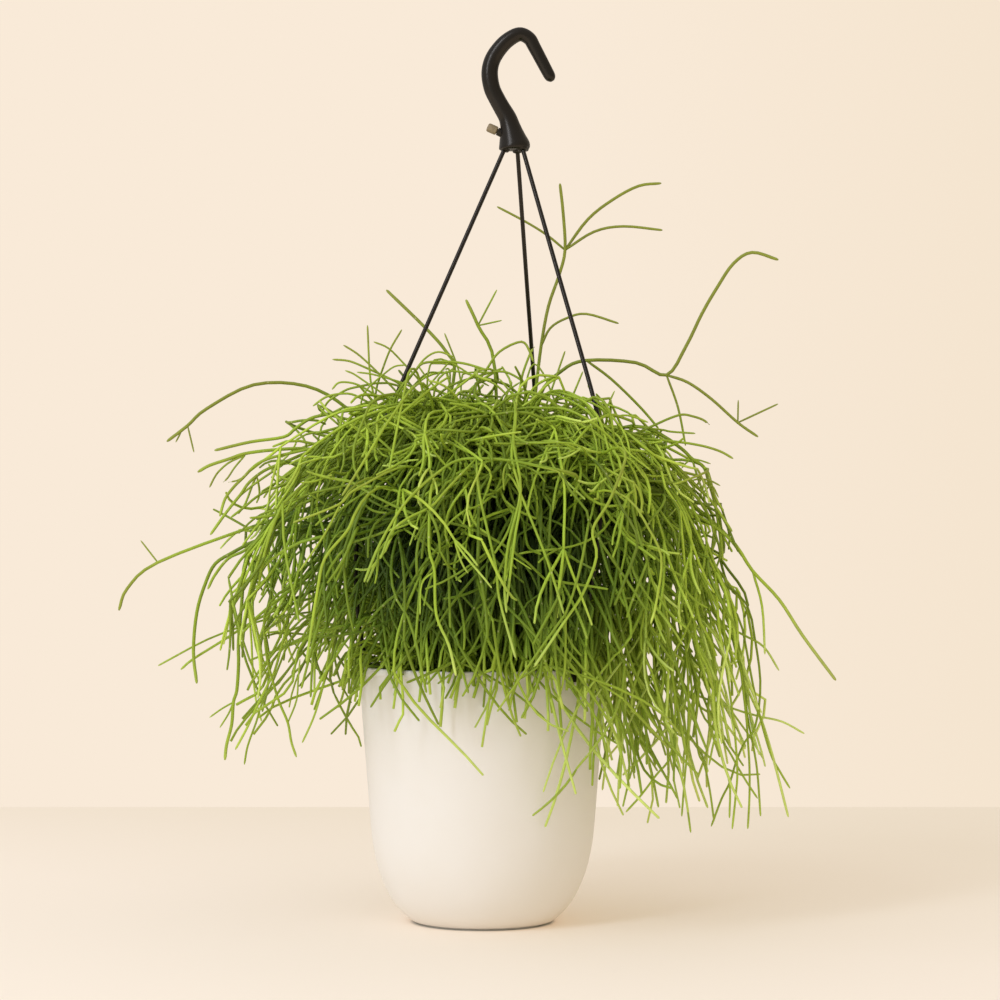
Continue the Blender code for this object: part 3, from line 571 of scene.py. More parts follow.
hook_way = through(HOOK_PATH, HOOK_STEPS)
hook_bar = (np.insert(hook_way[:, :2], 1, 0.0, axis=1), hook_way[:, 2])
hook = piece_of(round_bars("hook", [hook_bar], HOOK_LEVEL), "hook_body", black_plastic)
collar_bar = bar_along(PIN_CAP_CENTRE, PIN_WAY, COLLAR_STATIONS)
added = [piece_of(round_bars("collar", [collar_bar], BAR_LEVEL), "collar", black_plastic)]
sockets = []
for side, azimuth in STRAND_AZIMUTHS.items():
    top, _, way = strand_top(azimuth)
    boss = round_bars(side, [bar_along(top, way, BOSS_STATIONS)], BAR_LEVEL)
    added.append(piece_of(boss, "boss_" + side, black_plastic))
    socket = round_bars(side, [bar_along(top, way, SOCKET_STATIONS)], BAR_LEVEL)
    sockets.append(piece_of(socket, "socket_" + side, black_plastic))
joined(hook, added, "UNION")
joined(hook, sockets, "DIFFERENCE")
hook.data.set_sharp_from_angle(angle=SHARP_FROM)
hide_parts("hanger_hook")
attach(hook, "root")


# Retaining pin: a short peg of tan moulded nylon, pushed through the collar from the left to keep
# the hook in its bell. Only its rounded cap shows, stained brown in specks about 2 mm across.
PIN_TAN = "#a08e6c"
PIN_BROWN = "#6b5a3e"
STAINS_MM = 1.923
PIN_LEVEL = 6
PIN_STATIONS = (
    (-0.0031, 0.0014),
    (-0.0030, 0.0020),
    (-0.0026, 0.0025),
    (-0.0019, 0.0027),
    (0.0023, 0.0027),
    (0.0029, 0.0025),
    (0.0031, 0.0021),
    (0.0032, 0.0014),
    (0.0080, 0.0014),
)

tan_plastic, tree, shader = plain_finish("moulded_tan_nylon", PIN_TAN, 0.5)
where = add_node(tree, "ShaderNodeTexCoord", {}, {}).outputs["Object"]
mottle = add_node(tree, "ShaderNodeTexNoise", {}, {"Vector": where, "Scale": 1000 / STAINS_MM, "Detail": 3.0})
stained = add_node(
    tree, "ShaderNodeMix", {"data_type": "RGBA"},
    {0: mottle.outputs[0], 6: linear(PIN_TAN), 7: linear(PIN_BROWN)},
)
scuffs = add_node(
    tree, "ShaderNodeBump", {}, {"Height": mottle.outputs[0], "Strength": 0.2, "Distance": 0.0003}
)
tree.links.new(stained.outputs[2], shader.inputs["Base Color"])
tree.links.new(scuffs.outputs[0], shader.inputs["Normal"])
pin_bar = bar_along(PIN_CAP_CENTRE, PIN_WAY, PIN_STATIONS)
pin = piece_of(round_bars("pin", [pin_bar], PIN_LEVEL), "pin_cap", tan_plastic)
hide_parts("hanger_pin")
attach(pin, "root")


# Hanger strands: three moulded black strands, each one piece with the clip that snaps over the
# pot's lip. They run straight from the bell down to the foliage and bow inside it to their clips.
STRAND_RADIUS = 0.0013
STRAND_IN_SOCKET = 0.0050
STRAND_STEPS = 8
STRAND_BOW = (
    (0.0770, 0.2920),
    (0.0822, 0.2680),
    (0.0845, 0.2380),
    (0.0832, 0.2080),
    (0.0785, 0.1800),
    (0.0745, 0.1640),
    (0.0733, 0.1546),
)
CLIP_WIDTH = 0.0080
CLIP_THICKNESS = 0.0018
CLIP_GAP = 0.0004
CLIP_REACH = 0.0070
CLIP_ROUNDING = 0.0004


def crown_point(azimuth, r, v, z):
    """A place r out along an azimuth, v to its side, at height z, on the leaning crown."""
    x = r * np.sin(azimuth) + v * np.cos(azimuth) + lean(z)
    y = -r * np.cos(azimuth) + v * np.sin(azimuth)
    return np.stack([x, y, z], axis=-1)


def clip(name, azimuth):
    """A saddle over the lip: an inner leg, a plate on the lip and an outer leg, with soft edges."""
    inner = inner_radius - 2 * CLIP_GAP
    outer = lip_radius + CLIP_GAP
    low = POT_HEIGHT - CLIP_REACH
    plate = POT_HEIGHT + CLIP_GAP
    outline = (
        (inner - CLIP_THICKNESS, low),
        (inner, low),
        (inner, plate),
        (outer, plate),
        (outer, low),
        (outer + CLIP_THICKNESS, low),
        (outer + CLIP_THICKNESS, plate + CLIP_THICKNESS),
        (inner - CLIP_THICKNESS, plate + CLIP_THICKNESS),
    )
    out = outwards(azimuth)
    side = outwards(azimuth + math.pi / 2)
    bm = bmesh.new()
    corners = [bm.verts.new(out * r - side * CLIP_WIDTH / 2 + Vector((0, 0, z))) for r, z in outline]
    face = bm.faces.new(corners)
    new = bmesh.ops.extrude_face_region(bm, geom=[face])
    moved = [item for item in new["geom"] if isinstance(item, bmesh.types.BMVert)]
    bmesh.ops.translate(bm, verts=moved, vec=side * CLIP_WIDTH)
    bmesh.ops.recalc_face_normals(bm, faces=bm.faces)
    bmesh.ops.bevel(bm, geom=bm.edges[:], offset=CLIP_ROUNDING, segments=2, **round_off)
    return piece_of(bm, name, black_plastic)


for side, azimuth in STRAND_AZIMUTHS.items():
    top, spread, way = strand_top(azimuth)
    bow = [crown_point(azimuth, r, 0.0, z) for r, z in STRAND_BOW]
    straight = [np.array(top + way * STRAND_IN_SOCKET), np.array(top.lerp(spread, 0.5)), np.array(spread)]
    strand_way = through(straight + bow, STRAND_STEPS)
    strand_bar = (strand_way, [STRAND_RADIUS] * len(strand_way))
    strand = piece_of(round_bars(side, [strand_bar], BAR_LEVEL), "strand_" + side, black_plastic)
    joined(strand, [clip("clip_" + side, azimuth)], "UNION")
    strand.data.set_sharp_from_angle(angle=SHARP_FROM)
    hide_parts("hanger_strand_" + side)
    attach(strand, "root")


# Sprays: the plant itself, round waxy stems up to 2.2 mm thick, without leaves. Each spray stands on
# a woody root in the potting mix; its stems rise, arch over the rim and hang, and fork in pairs
# and whorls at joints where the skin narrows a little.

# The roots in the mix, and how the stems keep clear of the pot.
ROOT_BOTTOM = 0.1180
ROOT_TOP = 0.1560
ROOT_SWELL = 0.0060
ROOT_SHARES = (0.9, 1.0, 0.7)
STEM_START = 0.1440
FOLIAGE_MARGIN = 0.0060
WALL_SLOPE = 0.079
CLEAR_OF_WALL = 0.0032
CLEAR_OF_LIP = 0.0060
OVER_MIX_WITHIN = 0.060
SUNK_IN_MIX = 0.0040

# Main stems: their joints, kinks and slow waves. The radii are those of main stems, of their
# branches, of the branches' own and of the finest.
STEM_LEVEL = 2
STEM_RADII = (0.00094, 0.00085, 0.00077, 0.00069)
THICKNESSES = (0.86, 1.12)
TOP_THICKNESS = 0.88
FIRST_INTERNODE = (0.080, 0.120)
INTERNODES = (0.034, 0.058)
FOOT_SHARE = 0.8
PARTS_IN_FOOT = 7
PARTS_IN_JOINT = 5
JOINT_NARROWING = 0.80
KINK = 0.0016
WAVE = 0.0034
WAVE_LENGTHS = (0.034, 0.090)

# Branches, in the same orders: their lengths, where and how often they fork, and how they droop,
# sway, lie down and stay in the outline. A branch's shares of its radius run from foot to tip.
BRANCH_LENGTHS = (None, (0.036, 0.080), (0.026, 0.058), (0.016, 0.034))
BRANCH_THICKNESSES = (0.88, 1.12)
BRANCH_STATIONS = (0.28, 0.46, 0.64, 0.82, 1.0)
BRANCH_SHARES = (0.66, 1.0, 1.0, 1.0)
TIP_SHARES = (0.96, 0.90, 0.78, 0.36)
FORK_SHARES = (0.95, 0.90, 0.84, 0.45)
TIP_LENGTH = 0.0006
FORK_LENGTH = 0.0012
JOINT_SWELL = 0.0035
JOINT_SWELL_SHARE = 0.2
SIDE_CHANCE = 0.36
NO_SIDE_ABOVE = 0.4
FORK_CHANCE = (1.0, 0.50, 0.22, 0.0)
FORK_COUNTS = (1, 2, 2, 2, 3)
FORK_SPREAD = (0.39, 0.40, 0.42, 0.42)
FORK_TURNS = 0.4
FORK_TILTS = (0.5, 1.5)
DROOP = (None, 8.5, 8.0, 6.0)
SWAY = (None, 11.0, 16.0, 20.0)
STEEPEST_RISE = 0.30
LAID_OUT = 0.25
OUTLINE_SLACK = (0.95, 1.08)
STRAY_SLACK = 1.22
STRAY_CHANCE = 0.06
PULL_IN = 0.45
TRIES = 3

# Free stems, which are traced singly: main line and branches, the same in front of the plant and
# in its fringe, and the hidden lead from the root.
FREE_RADII = (0.00108, 0.00098)
FREE_RADII_IN_FRONT = (0.00086, 0.00077)
FREE_RADII_IN_FRINGE = (0.00070, 0.00064)
FREE_THINNER = ((0.015, 0.080), (0.54, 1.0))
FREE_TAPER = ((0.0, 0.1, 1.0), (0.75, 1.0, 0.9))
FREE_TIP = 0.0013
FREE_END_SHARES = (0.88, 0.42)
FREE_STEPS = 4
FREE_TONES = (0.10, 0.60)
FREE_TONES_IN_FRONT = (0.35, 0.75)
FREE_FRESH = (0.10, 0.75)
FREE_BRANCH_FRESH = 0.45
FREE_FRESH_IN_FRINGE = 0.38
IN_FRONT_MM = -45
IN_FRINGE_MM = 100
LEAD_RISE = (0.05, 0.6)
LEAD_END = 0.045
LEAD_STEPS = 14

# How young a stem is from foot to tip, and how much of that an old or low one keeps; low stems are also
# painted paler, partly as young growth and partly as painted light from the pot and table below, less so to
# the left.
FRESH = (0.15, 0.60)
BRANCH_FRESH = (0.35, 0.60)
FRESHER_BY_ORDER = 0.15
OLD_FRESHNESS = 0.40
TONE_STEP = 0.12
# Painted light: low stems are made paler, partly as young growth and partly as light from the pot and table
# below, less so to the left.
YOUNG_AND_LIT_LOW = ((0.125, 0.215), (0.34, 0.0))
LESS_YOUNG_AND_LIT_TO_LEFT = 0.9
LEAST_YOUNG_AND_LIT_LEFT = 0.12

# How much painted shade a place gets by how far inside the crown it is, by its height, with the open front
# apart; and from where the loose outer stems are bleached by the sun. The front's middle, end and fade are in
# degrees.
DEEP_BELOW = 0.028
DEEP_INSIDE = 0.042
DEEP_FROM = (0.185, 0.240)
LEAST_PAINTED_SHADE = 0.04
MOST_PAINTED_SHADE = 0.62
FRONT_MIDDLE = 2
FRONT_END = 60
FRONT_FADE = 20
FRONT_SET_BACK = 0.008
DEEP_FROM_IN_FRONT = (0.156, 0.205)
LEAST_PAINTED_SHADE_IN_FRONT = 0.06
SHADY_FRONT = 0.13
SHADY_HEIGHTS = (0.150, 0.170, 0.270, 0.295)
SUNNED_FROM = 1.13
SUNNED_OVER = 0.030
SUNNED_ABOVE = 0.270
SUNNED_CLEAR = 0.010

# Painted shade: the dark green that stems well inside the crown are painted.
GREEN_PAINTED_SHADE = "#293c10"
GREEN_OLD = "#4d5e16"
GREEN_OLD_FRESHER = "#92aa28"
GREEN_MID = "#99b02f"
GREEN_LIGHT = "#c2da4a"
# Painted shade: a greener tint for stems a little inside the crown, and over how much of the shade mark it
# comes in.
PAINTED_SHADE_TINT = "#efffef"
PAINTED_SHADE_TINT_OVER = 0.30
GREEN_TIP = "#d4df86"
GREEN_SUNNED = "#7e7c33"
AREOLE = "#c6c48c"
MOTTLE_MM = 6.25
AREOLES_APART_MM = 6.667

# The crown's outline: at each height, how far it reaches to the left, right, front and back.
OUTLINE = (
    (0.060, 0.060, 0.172, 0.090, 0.110),
    (0.075, 0.090, 0.180, 0.100, 0.124),
    (0.090, 0.120, 0.184, 0.112, 0.132),
    (0.103, 0.148, 0.184, 0.120, 0.138),
    (0.124, 0.159, 0.178, 0.128, 0.143),
    (0.160, 0.171, 0.169, 0.134, 0.147),
    (0.193, 0.171, 0.156, 0.136, 0.146),
    (0.220, 0.167, 0.146, 0.134, 0.143),
    (0.250, 0.162, 0.129, 0.124, 0.134),
    (0.275, 0.146, 0.113, 0.110, 0.118),
    (0.295, 0.118, 0.087, 0.090, 0.096),
    (0.305, 0.103, 0.052, 0.072, 0.072),
    (0.314, 0.082, 0.022, 0.048, 0.046),
    (0.321, 0.056, 0.008, 0.024, 0.022),
    (0.328, 0.014, 0.002, 0.004, 0.006),
)
DOME_FROM = 0.245

# How the crown hangs, by azimuth in degrees: the height where its main stems end, the height
# below which it gets thinner, the share of branches left at its lowest tips, and their height.
HANGING = (
    (-180, 0.150, 0.170, 0.18, 0.084),
    (-120, 0.170, 0.225, 0.06, 0.092),
    (-90, 0.182, 0.250, 0.02, 0.096),
    (-45, 0.192, 0.240, 0.04, 0.100),
    (-15, 0.195, 0.205, 0.12, 0.100),
    (10, 0.132, 0.155, 0.34, 0.080),
    (30, 0.098, 0.126, 0.34, 0.064),
    (60, 0.089, 0.112, 0.30, 0.056),
    (90, 0.088, 0.110, 0.30, 0.056),
    (130, 0.130, 0.160, 0.20, 0.078),
)
LOW_FROM = 0.190
LOW_LENGTHS = 1.75
LOW_FORKS = 0.42
LOW_CURL = 0.70
LOOSE_CHANCE = 0.20
LOOSE_RISE = 0.018
USUAL_HABIT = (1.0, 1.0)
CROWN_HABIT = (0.90, 2.6)
SPREAD_CURLED = 0.5
CENTRE_REACH = 0.010

# Single stems that give this plant its look, with places in millimetres read off the photograph. Each row is
# one stem with its branches; the first line of a row is led up to from the root of the sector that it is in.
FREE_STEMS = (
    (((20.5, 36, 220), (27.5, 37, 280), (32, 36.5, 317), (35.5, 36, 346.5), (40, 36, 371), (46.5, 36, 390),
      (50.2, 36, 405.6), (49, 34, 428), (47, 33, 446)),
     ((50.2, 36, 405.6), (39.2, 37, 414.8), (25.7, 38, 423.3), (8.6, 40, 432.5)),
     ((50.2, 36, 405.6), (64.3, 38, 424.6), (79.6, 40, 436.8), (95.5, 42, 445.4), (109.5, 43, 447.2)),
     ((50.2, 36, 405.6), (67.9, 34, 416.6), (85.7, 32, 419.7), (109.5, 30, 417.2)),
     ((35.5, 36, 346.5), (41, 33, 357.5), (51, 30, 363.5), (63, 28, 366), (82.6, 25, 360))),
    (((34, -4.5, 220), (31.2, -3, 275), (34, -3, 314), (47.5, -5, 330), (62, -7, 336), (91.5, -11, 334.5),
      (109.5, -14, 327), (121, -16, 344), (130.5, -17, 363.5), (139.5, -18, 379), (149, -19, 393),
      (160, -20, 399.5), (175.5, -21, 395)),
     ((109.5, -14, 327), (122, -17, 322.5), (136, -19, 312.5), (151.5, -20, 298.5), (163.5, -21, 290)),
     ((151.5, -20, 298.5), (175, -24, 309.5)),
     ((151.5, -20, 298.5), (152, -17, 312)),
     ((109.5, -14, 327), (116.5, -13, 307.5), (121, -12, 285)),
     ((62, -7, 336), (77, -4, 325), (94, -2, 308.7), (105.5, -1, 295.5))),
    (((50, -13, 220), (76, -19, 256), (105, -24, 255), (143.5, -31, 232), (159, -34, 211),
      (174.5, -37, 194), (188, -40, 173), (207, -44, 147)),
     ((159, -34, 211), (164.5, -36, 190), (166, -38, 162))),
    (((-47, 1, 230), (-62, 2, 285), (-82, 2, 308), (-106, 0, 321), (-137, -4, 321.6), (-165, -8, 307),
      (-176, -10, 297), (-188.5, -9, 287.5)),
     ((-176, -10, 297), (-172, -12, 281)),
     ((-180, -10, 293), (-183, -11, 287))),
    (((-51, -8, 215), (-68, -10, 248), (-90, -11, 251), (-136, -14, 237), (-193, -17, 215.5),
      (-211, -18, 200), (-216, -18, 187)),
     ((-193, -17, 215.5), (-203.5, -14, 228.5))),
    (((-33, 12, 230), (-24, 10.5, 295), (-17, 9.5, 330), (-22, 11, 342), (-34, 14, 356),
      (-58.5, 20, 380)),),
    (((8, -1, 240), (7.5, -3, 330), (-2.8, -4, 357), (-10, -5, 372.5)),
     ((-2.8, -4, 357), (8.5, -3, 378.5)),
     ((-2.8, -4, 357), (11.5, -6, 360))),
    (((41, -111, 270), (15, -108, 275), (-3, -107, 276), (-13, -107, 275), (-22, -111, 270),
      (-41, -121, 253), (-56, -131, 229), (-65, -135, 207)),
     ((-3, -107, 276), (-19, -118, 259), (-28, -123, 249), (-40, -126, 243), (-50, -129, 235),
      (-56, -133, 220)),
     ((-3, -107, 276), (-1, -120, 255), (8, -134, 216), (10, -135, 198), (19, -135, 165)),
     ((15, -108, 275), (24, -109, 273), (42, -112, 269), (44, -114, 266))),
    (((19, -91, 295), (17, -107, 276), (22, -120, 255), (19, -129, 234), (17, -133, 219), (14, -135, 195)),
     ((17, -133, 221), (28, -134, 214))),
    (((-29, -124, 247), (-29, -132, 225), (-26, -134, 213), (-25, -135, 189), (-18, -135, 172),
      (-14, -135, 155)),
     ((-26, -134, 213), (-33, -135, 206), (-34, -135, 189))),
    (((-44, -67, 320), (-50, -102, 282), (-52, -111, 270)),),
    (((-44, -75, 312), (-56, -93, 293), (-66, -108, 275), (-78, -120, 255)),),
    (((-61, -115, 264), (-73, -119, 257), (-80, -123, 250), (-105, -127, 240)),),
    (((-79, -122, 250), (-87, -129, 234), (-101, -134, 213)),),
    (((-71, -125, 244), (-75, -129, 235), (-87, -133, 220), (-91, -135, 202), (-94, -135, 183),
      (-97, -135, 163)),),
    (((19, -87, 299), (18, -101, 284), (22, -119, 258), (15, -131, 228), (13, -135, 205),
      (14, -135, 190)),),
    (((24, -122, 251), (37, -133, 218), (46, -135, 189)),),
    (((79, -112, 269), (71, -122, 251), (62, -129, 236), (64, -133, 221), (56, -135, 200), (46, -135, 185),
      (32, -135, 164), (29, -135, 160)),),
    (((91, -127, 241), (100, -133, 221), (97, -135, 195), (94, -135, 184)),),
    (((34, -60, 306), (48, -70, 305), (62, -75, 298), (76, -74, 286), (88, -72, 268), (93, -73, 250)),
     ((62, -75, 298), (66, -82, 282), (64, -88, 264)),
     ((76, -74, 286), (86, -66, 281), (97, -60, 270))),
    (((84, -46, 300), (74, -60, 302), (62, -72, 295), (50, -83, 280), (43, -90, 262), (40, -94, 246)),
     ((62, -72, 295), (55, -74, 292), (45, -80, 276))),
    (((45, -60, 304), (51, -66, 296), (56, -72, 284), (58, -74, 282)),
     ((58, -74, 282), (53, -80, 274), (47, -84, 265)),
     ((58, -74, 282), (60, -78, 275), (60, -80, 268))),
    (((56, -70, 288), (63, -74, 283), (74, -76, 279), (85, -74, 276), (94, -70, 265)),),
    (((50, -50, 311), (60, -60, 305), (66.3, -65, 297), (67.6, -67, 286), (68.8, -69, 276),
      (69.4, -72, 266), (67, -76, 253)),),
    (((58, -46, 309), (65, -57, 304), (68.4, -64, 297), (69.6, -66, 286), (70.9, -68, 276),
      (72.2, -70, 265), (77, -73, 250)),),
    (((62, -56, 306), (70, -64, 296), (79, -68, 289), (83, -72, 281), (97, -68, 270)),),
    (((52, -47, 305), (62, -48, 303), (74, -48, 301), (85, -48, 302), (97, -46, 298)),),
    (((52, -52, 313), (60, -62, 309), (68, -71, 298), (73, -78, 280), (78, -81, 262)),),
    (((58, -50, 312), (72, -58, 304), (83, -64, 290), (86, -72, 272)),),
    (((165, -20, 124), (178, -20, 121), (191, -20, 114)),
     ((165, -20, 124), (172, -25, 100), (181, -25, 65))),
)

# The same for stems that lie across the view: how far back each group is, then x and z on its lines.
FLAT_STEMS = (
    (-30, ((2, 329), (10, 340), (23, 346), (28, 340), (30, 334))),
    (-20, ((41, 318), (49, 341))),
    (-30, ((72, 304), (78, 317))),
    (-40, ((49, 304), (59, 328))),
    (-35, ((72, 303), (62, 320))),
    (-25, ((-67, 332), (-68, 356))),
    (-30, ((-60, 326), (-66, 332), (-74, 339), (-82, 344))),
    (-20, ((-60, 327), (-69, 331), (-79, 335), (-89, 336))),
    (-10, ((-46, 333), (-56, 343), (-65, 347))),
    (-15, ((-60, 329), (-55, 342), (-48, 354))),
    (5, ((-17, 338), (-23, 353))),
    (-30, ((-41, 327), (-34, 336), (-26, 340), (-17, 337))),
    (-25, ((-147, 222), (-158, 215), (-164, 203), (-169, 186), (-171, 163), (-169, 144))),
    (-20, ((-142, 177), (-156, 168), (-172, 158), (-179, 152))),
    (-15, ((-173, 165), (-193, 154))),
    (-30, ((154, 173), (166, 166), (175, 152))),
    (-20, ((-90, 304), (-102, 301), (-111, 295), (-118, 290), (-138, 287), (-159, 282))),
    (-30, ((-96, 282), (-108, 283), (-125, 282), (-140, 280), (-149, 277), (-161, 273), (-168, 269)),
     ((-140, 279), (-149, 275), (-155, 270), (-158, 266), (-161, 260)),
     ((-140, 279), (-146, 272), (-150, 266), (-153, 263))),
    (-40, ((-104, 282), (-113, 280), (-125, 277), (-133, 273), (-140, 266), (-146, 260), (-151, 253),
      (-154, 243)),
     ((-140, 266), (-144, 264), (-149, 263))),
    (-25, ((-108, 279), (-117, 275), (-129, 270), (-138, 263), (-143, 256), (-151, 246), (-161, 232))),
    (-15, ((-109, 264), (-126, 259), (-135, 254), (-141, 249), (-150, 242))),
    (-30, ((-116, 241), (-130, 232), (-140, 223), (-150, 218), (-158, 208), (-162, 200))),
    (-40, ((-140, 212), (-141, 194), (-143, 170), (-143, 156), (-144, 141), (-146, 134), (-147, 121),
      (-150, 109), (-151, 100)),
     ((-146, 134), (-149, 127), (-154, 119)),
     ((-146, 134), (-153, 130), (-160, 125))),
    (-50, ((-116, 171), (-121, 153), (-125, 145), (-131, 133), (-137, 120), (-144, 107))),
    (-35, ((-116, 164), (-124, 144), (-130, 132), (-133, 122), (-138, 108), (-140, 97))),
    (-55, ((-127, 177), (-125, 160), (-122, 148), (-118, 135), (-113, 123), (-111, 112), (-108, 103)),
     ((-113, 123), (-108, 136), (-107, 148), (-106, 160))),
    (-50, ((-89, 165), (-92, 148), (-95, 136), (-99, 124), (-105, 111))),
    (-30, ((93, 293), (102, 297), (111, 301), (118, 303), (124, 302), (130, 300), (134, 297))),
    (-30, ((105, 288), (114, 287), (122, 286), (132, 284), (141, 281), (148, 277))),
    (-25, ((99, 295), (107, 294), (112, 293), (126, 292))),
    (-25, ((111, 288), (119, 282), (124, 277), (131, 272), (134, 263), (137, 253), (139, 243), (141, 229),
      (142, 217)),
     ((124, 277), (129, 276), (135, 274)),
     ((124, 277), (128, 264), (131, 256), (132, 246), (133, 241)),
     ((124, 277), (120, 274), (117, 270))),
    (-35, ((112, 275), (118, 269), (126, 261), (133, 254), (139, 246), (147, 234)),
     ((123, 264), (128, 265), (134, 264), (140, 261)),
     ((130, 257), (135, 261), (139, 254))),
    (-20, ((114, 257), (123, 250), (132, 243), (140, 237), (148, 228), (156, 217))),
    (-30, ((-67, 310), (-77, 315), (-86, 315), (-93, 313), (-100, 308))),
    (-25, ((-72, 320), (-80, 318), (-87, 314), (-92, 310), (-96, 302))),
    (-25, ((-67, 317), (-72, 320), (-78, 322), (-85, 322), (-89, 318))),
    (-30, ((-70, 323), (-76, 327), (-81, 329))),
    (-30, ((-58, 325), (-66, 327), (-74, 328))),
    (-35, ((-60, 325), (-52, 331), (-45, 332))),
    (-30, ((-27, 318), (-33, 325), (-38, 332))),
    (-35, ((-40, 328), (-35, 333), (-24, 334), (-11, 333), (3, 329))),
    (-30, ((-30, 322), (-23, 330), (-19, 335))),
    (-30, ((-20, 318), (-19, 325), (-20, 330), (-23, 329))),
    (-25, ((-40, 321), (-35, 326), (-31, 328), (-27, 328), (-23, 327))),
    (-30, ((-12, 325), (-11, 327), (-5, 328), (5, 328))),
    (-25, ((-12, 330), (-3, 324), (4, 320))),
    (-30, ((-5, 325), (6, 328), (14, 328), (22, 324), (26, 320))),
    (-10, ((22, 307), (23, 324), (28, 339), (31, 344))),
    (-35, ((22, 310), (15, 318), (10, 324))),
    (-35, ((14, 314), (17, 320), (17, 323))),
    (-30, ((9, 310), (15, 317), (22, 322))),
    (-35, ((-3, 325), (7, 321), (15, 314), (20, 310))),
    (-35, ((39, 320), (43, 310), (46, 303))),
    (-40, ((49, 302), (53, 303), (63, 306))),
    (-40, ((114, 200), (121, 159), (125, 120), (127, 104), (130, 98), (132, 90), (134, 79), (136, 64))),
    (-35, ((119, 188), (123, 156), (129, 128), (137, 117), (145, 105), (150, 96), (156, 86), (162, 77))),
    (-30, ((159, 182), (164, 146), (161, 119), (155, 110), (150, 99), (146, 86), (141, 76), (135, 60))),
    (-25, ((146, 193), (152, 158), (156, 125), (157, 111), (158, 95), (158, 77), (157, 58))),
    (-20, ((146, 199), (153, 161), (157, 126), (160, 110), (163, 92), (165, 65))),
    (-25, ((154, 176), (162, 134), (170, 104), (176, 92), (182, 82))),
    (-40, ((129, 200), (135, 159), (137, 122), (139, 107), (145, 87), (145, 66))),
    (-35, ((141, 170), (147, 129), (150, 96), (149, 78), (147, 59))),
    (-45, ((102, 188), (108, 141), (111, 105), (116, 92), (119, 79), (122, 58))),
    (-40, ((118, 182), (121, 141), (120, 104), (119, 92), (117, 67))),
    (-40, ((135, 170), (138, 135), (137, 117), (135, 107), (133, 97))),
    (-45, ((109, 165), (113, 130), (110, 103), (102, 92), (93, 80), (84, 70))),
)
flat_stems = tuple(tuple(tuple((x, y, z) for x, z in path) for path in paths) for y, *paths in FLAT_STEMS)
crown_outline = np.array(OUTLINE)
hanging = np.array(HANGING)


def azimuth_of(point):
    """The azimuth of a place, seen from the leaning middle of the crown."""
    return math.atan2(point[0] - lean(point[2]), -point[1])


def radius_of(point):
    """How far a place is from the leaning middle of the crown."""
    return math.hypot(point[0] - lean(point[2]), point[1])


def sector_of(point):
    """The number of the sector that a place is in, or of the centre spray."""
    if radius_of(point) < CENTRE_REACH:
        return SECTORS
    return round((azimuth_of(point) - FIRST_AZIMUTH) / SECTOR_ANGLE) % SECTORS


def frontal(azimuth):
    """How far an azimuth belongs to the open front of the plant, from 0 to 1."""
    angle = abs(math.degrees(math.remainder(azimuth + math.radians(FRONT_MIDDLE), 2 * math.pi)))
    return min(max((FRONT_END - angle) / FRONT_FADE, 0.0), 1.0)


def by_way(azimuth, left, right, front, back):
    """A value that goes over from one side of the plant to the next with the azimuth."""
    across = math.sin(azimuth)
    ahead = math.cos(azimuth)
    return (right if across > 0 else left) * across**2 + (front if ahead > 0 else back) * ahead**2


def hanging_at(azimuth):
    """The crown's main ends, thin height, thinnest share and lowest tips at an azimuth."""
    angle = math.degrees(azimuth)
    return [float(np.interp(angle, hanging[:, 0], hanging[:, i], period=360)) for i in range(1, 5)]


def reach_of(azimuth, z):
    """How far the crown reaches along an azimuth at a height."""
    return by_way(azimuth, *(np.interp(z, crown_outline[:, 0], crown_outline[:, i]) for i in range(1, 5)))


def dome_height(azimuth, r):
    """The height of the crown's outside, r out along an azimuth."""
    dome = crown_outline[crown_outline[:, 0] > DOME_FROM][::-1]
    reaches = np.array([by_way(azimuth, *row[1:]) for row in dome])
    return float(np.interp(r, reaches, dome[:, 0]))


def painted_shade_and_sun_of(points):
    """The painted shade of places by how far inside the crown they are: 1 well inside it, 0 near its outside,
    down to -1 out of it, where the stems are bleached by the sun.
    """
    out = []
    for point in points:
        azimuth = azimuth_of(point)
        r = radius_of(point)
        reach = min(reach_of(azimuth, point[2]), reach_of(azimuth, point[2] + DEEP_BELOW))
        ahead = frontal(azimuth)
        usual = np.interp(point[2], DEEP_FROM, (LEAST_PAINTED_SHADE, MOST_PAINTED_SHADE))
        full = usual + (np.interp(point[2], DEEP_FROM_IN_FRONT, (LEAST_PAINTED_SHADE_IN_FRONT, 1.0)) - usual) * ahead
        # Painted shade: the farther inside the crown, the darker the stem is painted.
        inside = min(max((reach - r - FRONT_SET_BACK * ahead) / DEEP_INSIDE, 0.0), 1.0) * full
        inside = max(inside, SHADY_FRONT * ahead * np.interp(point[2], SHADY_HEIGHTS, (0, 1, 1, 0)))
        outside = r - reach * SUNNED_FROM
        if point[2] > SUNNED_ABOVE:
            outside = min(outside, point[2] - dome_height(azimuth, r) - SUNNED_CLEAR)
        out.append(inside - min(max(outside / SUNNED_OVER, 0.0), 1.0))
    return np.array(out)


def wall_at(z):
    """The radius of the pot's straight wall at a height."""
    return POT_WALL_TOP_RADIUS - (POT_HEIGHT - z) * WALL_SLOPE


def clear_of_pot(points):
    """Moves places that would be in the pot's wall or lip out in front of it, or back in over the mix."""
    for point in points:
        if point[2] < POT_HEIGHT + CLEAR_OF_LIP:
            r = math.hypot(point[0], point[1])
            clear = wall_at(point[2]) + CLEAR_OF_WALL
            outside = r > OVER_MIX_WITHIN or point[2] < MIX_TOP - SUNK_IN_MIX
            if outside and r < clear:
                point[:2] *= clear / r
            elif not outside:
                point[2] = max(point[2], MIX_TOP - SUNK_IN_MIX / 2)
    return points


